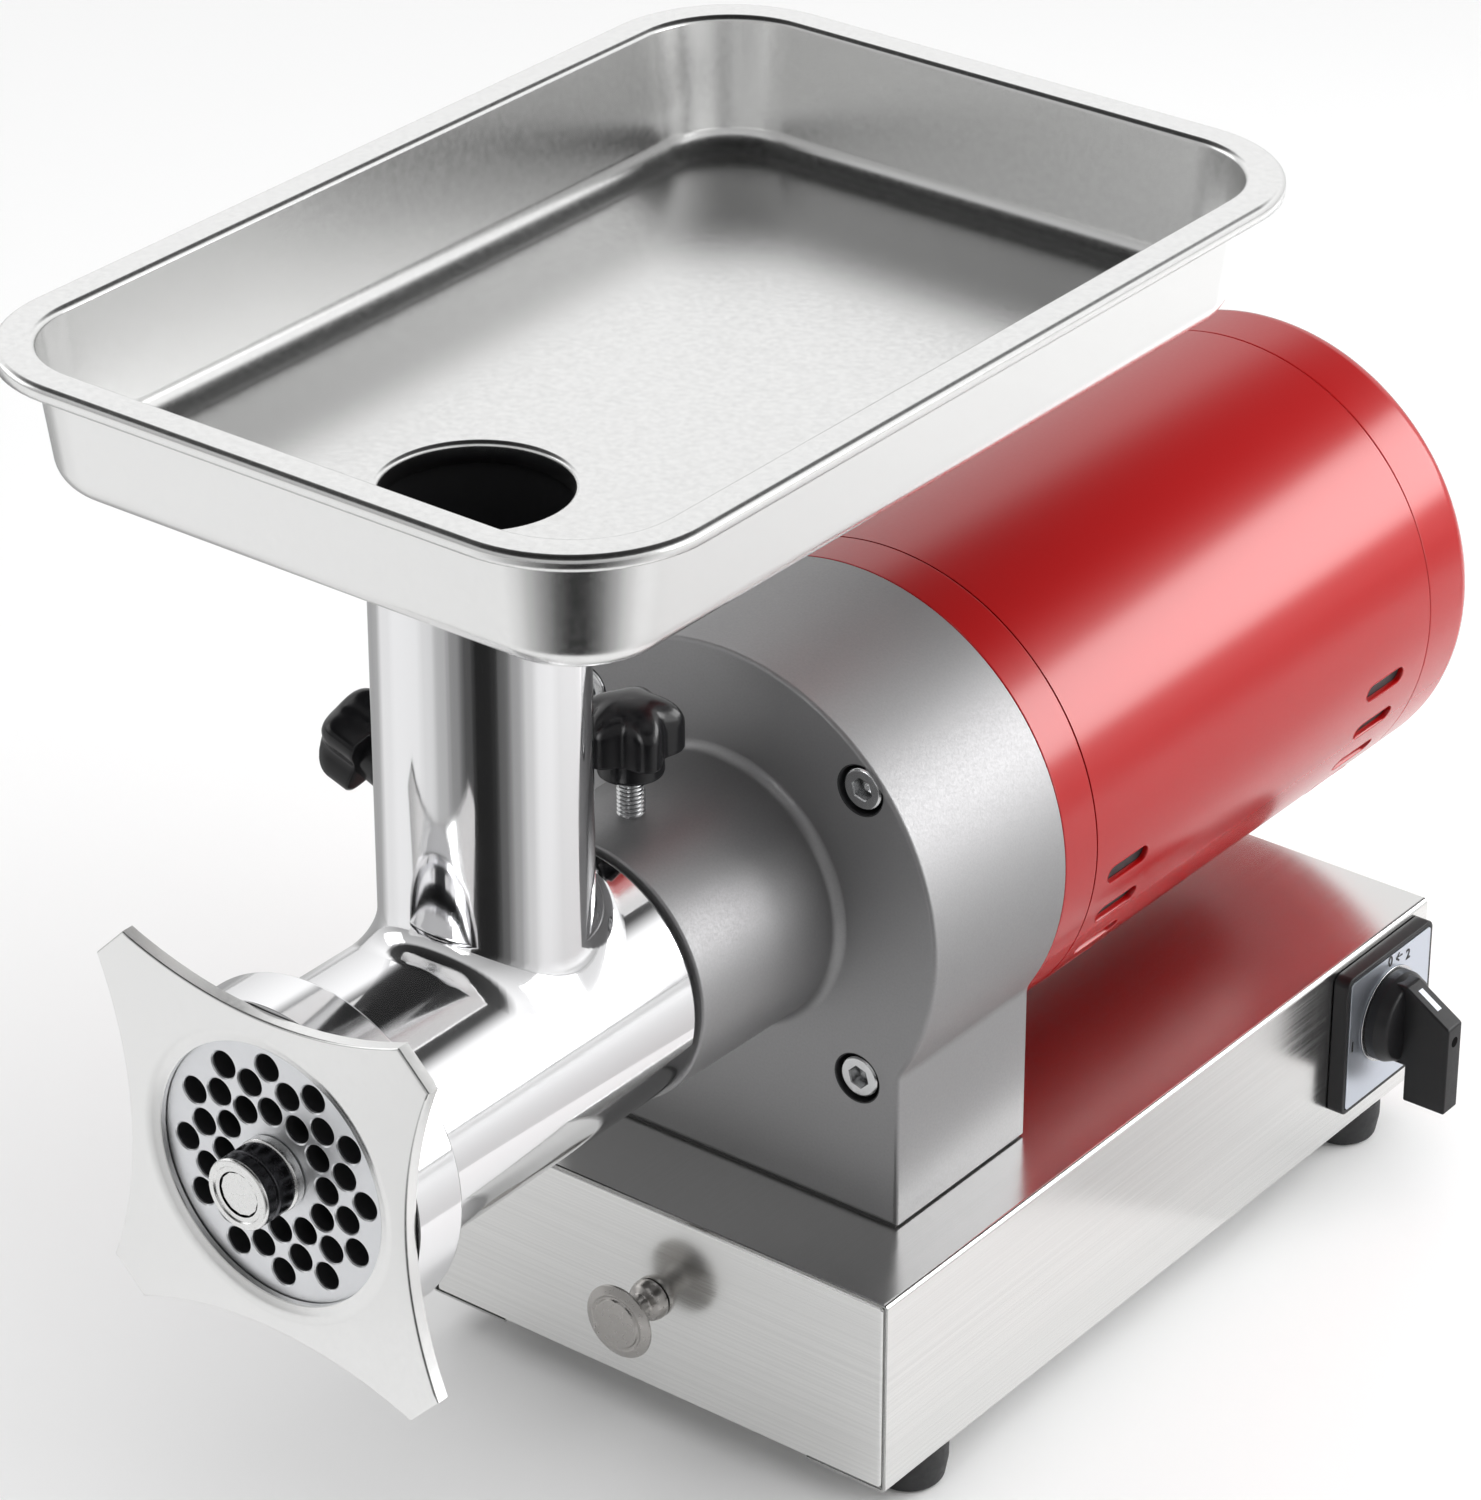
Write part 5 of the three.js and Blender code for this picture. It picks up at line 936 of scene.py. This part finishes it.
def sign(name, text, size, ahead, height):
    curve = bpy.data.curves.new(name, "FONT")
    curve.body = text
    curve.size = size * mm
    curve.align_x = "CENTER"
    curve.align_y = "CENTER"
    curve.resolution_u = 4
    curve.offset = 0.0001  # a bolder stroke
    held = bpy.data.objects.new(name + "Curve", curve)
    bpy.context.scene.collection.objects.link(held)
    bpy.context.view_layer.update()
    settled = held.evaluated_get(bpy.context.evaluated_depsgraph_get())
    flat = bpy.data.meshes.new_from_object(settled)
    bpy.data.objects.remove(held)
    bm = bmesh.new()
    bm.from_mesh(flat)
    bpy.data.meshes.remove(flat)
    turn = Matrix((rearward, up, right)).transposed().to_4x4()
    place = Matrix.Translation(onWall(switch["plateOut"] + 0.03, ahead, height))
    bmesh.ops.transform(bm, matrix=place @ turn, verts=bm.verts)
    for vert in vertsIn(bmesh.ops.extrude_face_region(bm, geom=bm.faces[:])["geom"]):
        vert.co += right * 0.04 * mm
    makePiece(bm, name, None, "black_plastic", look="satin_black", body="base", sharp=20)


sign("signZero", "0", 5.0, 0.4, 18.5)
sign("signArrow", "←", 4.6, -4.8, 18.0)
sign("signTwo", "2", 5.0, -10.0, 16.4)
sign("signOne", "1", 5.0, 20.2, -2.8)
print("Stage 10: switch")

# Cable gland

gland = {"profile": [(4, -8), (8, -8), (8, 0.3), (11.2, 0.3, 0.3), (11.2, 1.0), (8.2, 1.0), (8.2, 5.0),
                     (9.4, 5.1, 0.3), (9.4, 13.7, 2.4), (4, 13.7)],
         "nut": 11.4, "nutTop": 10.2, "hole": 8}
low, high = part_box("cable_gland")
middle = (low + high) / 2
place = Vector((middle.x, baseHigh.y, middle.z))
bm = bmesh.new()
lathe(bm, place, rearward, gland["profile"], 64, closed=True)
nut = ring(bm, place + rearward * 1.0 * mm, rearward, gland["nut"], 6)
edges = pull(bm, nut, lambda spot: spot + rearward * 3.8 * mm)
for radius, along in ((gland["nutTop"], 5.1), (gland["hole"], 5.1)):
    edges = pull(bm, edges, scaled(place, rearward, radius, along))
pull(bm, nut, scaled(place, rearward, gland["hole"], 1.0))
makePiece(bm, "cableGlandMoulded", "cable_gland", "black_plastic", look="satin_black", sharp=30)

# Pieces that keep their CAD shape take the finish of their slot

slots = {row["node"]: row["material_slot"] for row in frame["record"]["subparts"]}
for name, node in frame["nodes"].items():
    if not node.hide_render:
        node.data.materials.clear()
        node.data.materials.append(materials[slots[name]])
print("Stage 11: inner pieces")

# Floor, light and camera

bm = bmesh.new()
bmesh.ops.create_circle(bm, cap_ends=True, segments=96, radius=3.2)
floor = newObject(bm, "floor")
floor.data.materials.append(
    finish("floor_white", (0.93, 0.93, 0.93), 0.0, 0.9, 3, 0.88, 0.95, 0.01, specular=0.1))

scene = bpy.context.scene
world = bpy.data.worlds.new("studio")
scene.world = world
world.use_nodes = True
nodes, links = world.node_tree.nodes, world.node_tree.links
back = nodes["Background"]
coords = nodes.new("ShaderNodeTexCoord")
split = nodes.new("ShaderNodeSeparateXYZ")
ramp = nodes.new("ShaderNodeValToRGB")
stops = [(0.0, 0.9), (0.5, 0.85), (0.63, 1.0), (0.76, 1.18), (0.81, 0.08), (1.0, 0.02)]
for i, (spot, value) in enumerate(stops):  # by the height of a direction's end, 0 below to 1 above
    element = ramp.color_ramp.elements[i] if i < 2 else ramp.color_ramp.elements.new(spot)
    element.position = spot
    element.color = (value, value, value, 1)
links.new(coords.outputs["Generated"], split.inputs["Vector"])
links.new(mapRange(world, split.outputs["Z"], 0, 1, -1, 1), ramp.inputs["Fac"])
links.new(ramp.outputs["Color"], back.inputs["Color"])
# the room's front is dimmer than its back
links.new(mapRange(world, split.outputs["Y"], 0.5, 1.0, -0.5, 0.4), back.inputs["Strength"])



def heading(azimuth, elevation):  # azimuth 0 is -Y and 90 is +X
    a, e = math.radians(azimuth), math.radians(elevation)
    return Vector((math.sin(a) * math.cos(e), -math.cos(a) * math.cos(e), math.sin(e)))


target = Vector((0, -0.02, 0.2))


def areaLight(name, azimuth, elevation, distance, size, radiance, glossy=True):
    light = bpy.data.lights.new(name, "AREA")
    light.shape = "RECTANGLE"
    light.size, light.size_y = size
    light.energy = radiance * math.pi * size[0] * size[1]
    made = bpy.data.objects.new(name, light)
    scene.collection.objects.link(made)
    out = heading(azimuth, elevation)
    made.location = target + out * distance
    made.rotation_euler = out.to_track_quat("Z", "Y").to_euler()
    made.visible_camera = False
    made.visible_glossy = glossy
    return made


areaLight("overhead", 0, 89.9, 3.0, (5.0, 5.0), 1.55, glossy=False)
key = areaLight("key", 142, 16.4, 1.0, (0.7, 0.38), 5.6)
areaLight("sideRight", 112, 8, 1.8, (1.1, 0.8), 2.6)
areaLight("sideLeft", -70, 20, 2.6, (1.6, 1.2), 0.9)
apart = bpy.data.collections.new("apart")  # the tray's inside would mirror the key
apart.objects.link(bpy.data.objects["trayPressed"])
apart.collection_objects[0].light_linking.link_state = "EXCLUDE"
key.light_linking.receiver_collection = apart


made, shader = newMaterial("fan_shade", (0.01, 0.01, 0.01), 0.0, 0.9, specular=0.0)
nodes, links = made.node_tree.nodes, made.node_tree.links
clear = nodes.new("ShaderNodeBsdfTransparent")
blend = nodes.new("ShaderNodeMixShader")
shade = nodes.new("ShaderNodeAttribute")
shade.attribute_name = "shade"
links.new(shade.outputs["Fac"], blend.inputs[0])
links.new(clear.outputs[0], blend.inputs[1])
links.new(shader.outputs[0], blend.inputs[2])
links.new(blend.outputs[0], nodes["Material Output"].inputs["Surface"])

# A fan of shade on the floor, darkest towards the camera and seen only in reflections: (azimuth, shade)
fanFrom, fanTo, fanRise = 0.28, 2.4, 0.0015
shades = [(-140, 0.0), (-125, 0.6), (-105, 0.6), (-80, 0.1), (-58, 0.0), (-36, 0.02), (-20, 0.18), (-4, 0.48),
          (10, 0.70), (23, 0.91), (35, 0.99), (47, 0.99), (59, 0.89), (71, 0.68), (85, 0.42), (99, 0.24),
          (125, 0.36), (150, 0.36), (165, 0.0)]
bm = bmesh.new()
bmesh.ops.create_grid(bm, x_segments=len(shades) - 1, y_segments=1, size=1)
layer = bm.verts.layers.float.new("shade")
for vert in bm.verts:
    turn, value = shades[round((vert.co.x + 1) / 2 * (len(shades) - 1))]
    vert[layer] = value
    out = fanFrom if vert.co.y < 0 else fanTo
    vert.co = tubeAxis.xy.to_3d() + heading(turn, 0) * out + up * fanRise
fan = newObject(bm, "fan")
fan.data.materials.append(materials["fan_shade"])
fan.visible_camera = fan.visible_diffuse = fan.visible_shadow = fan.visible_transmission = False

sensor, focalPixels, framePixels = 36, 5709.13, 1500
pitch, yaw = 90 - 28.78, 37.70
camera = bpy.data.cameras.new("camera")
camera.sensor_fit = "AUTO"
camera.sensor_width = sensor
camera.lens = focalPixels * sensor / framePixels
camera.clip_start, camera.clip_end = 0.05, 50
made = bpy.data.objects.new("camera", camera)
scene.collection.objects.link(made)
made.location = (0.85390, -1.13863, 0.97713)
made.rotation_euler = (math.radians(pitch), 0, math.radians(yaw))
scene.camera = made
scene.view_settings.view_transform = "Standard"
print("Stage 12: floor, light and camera")
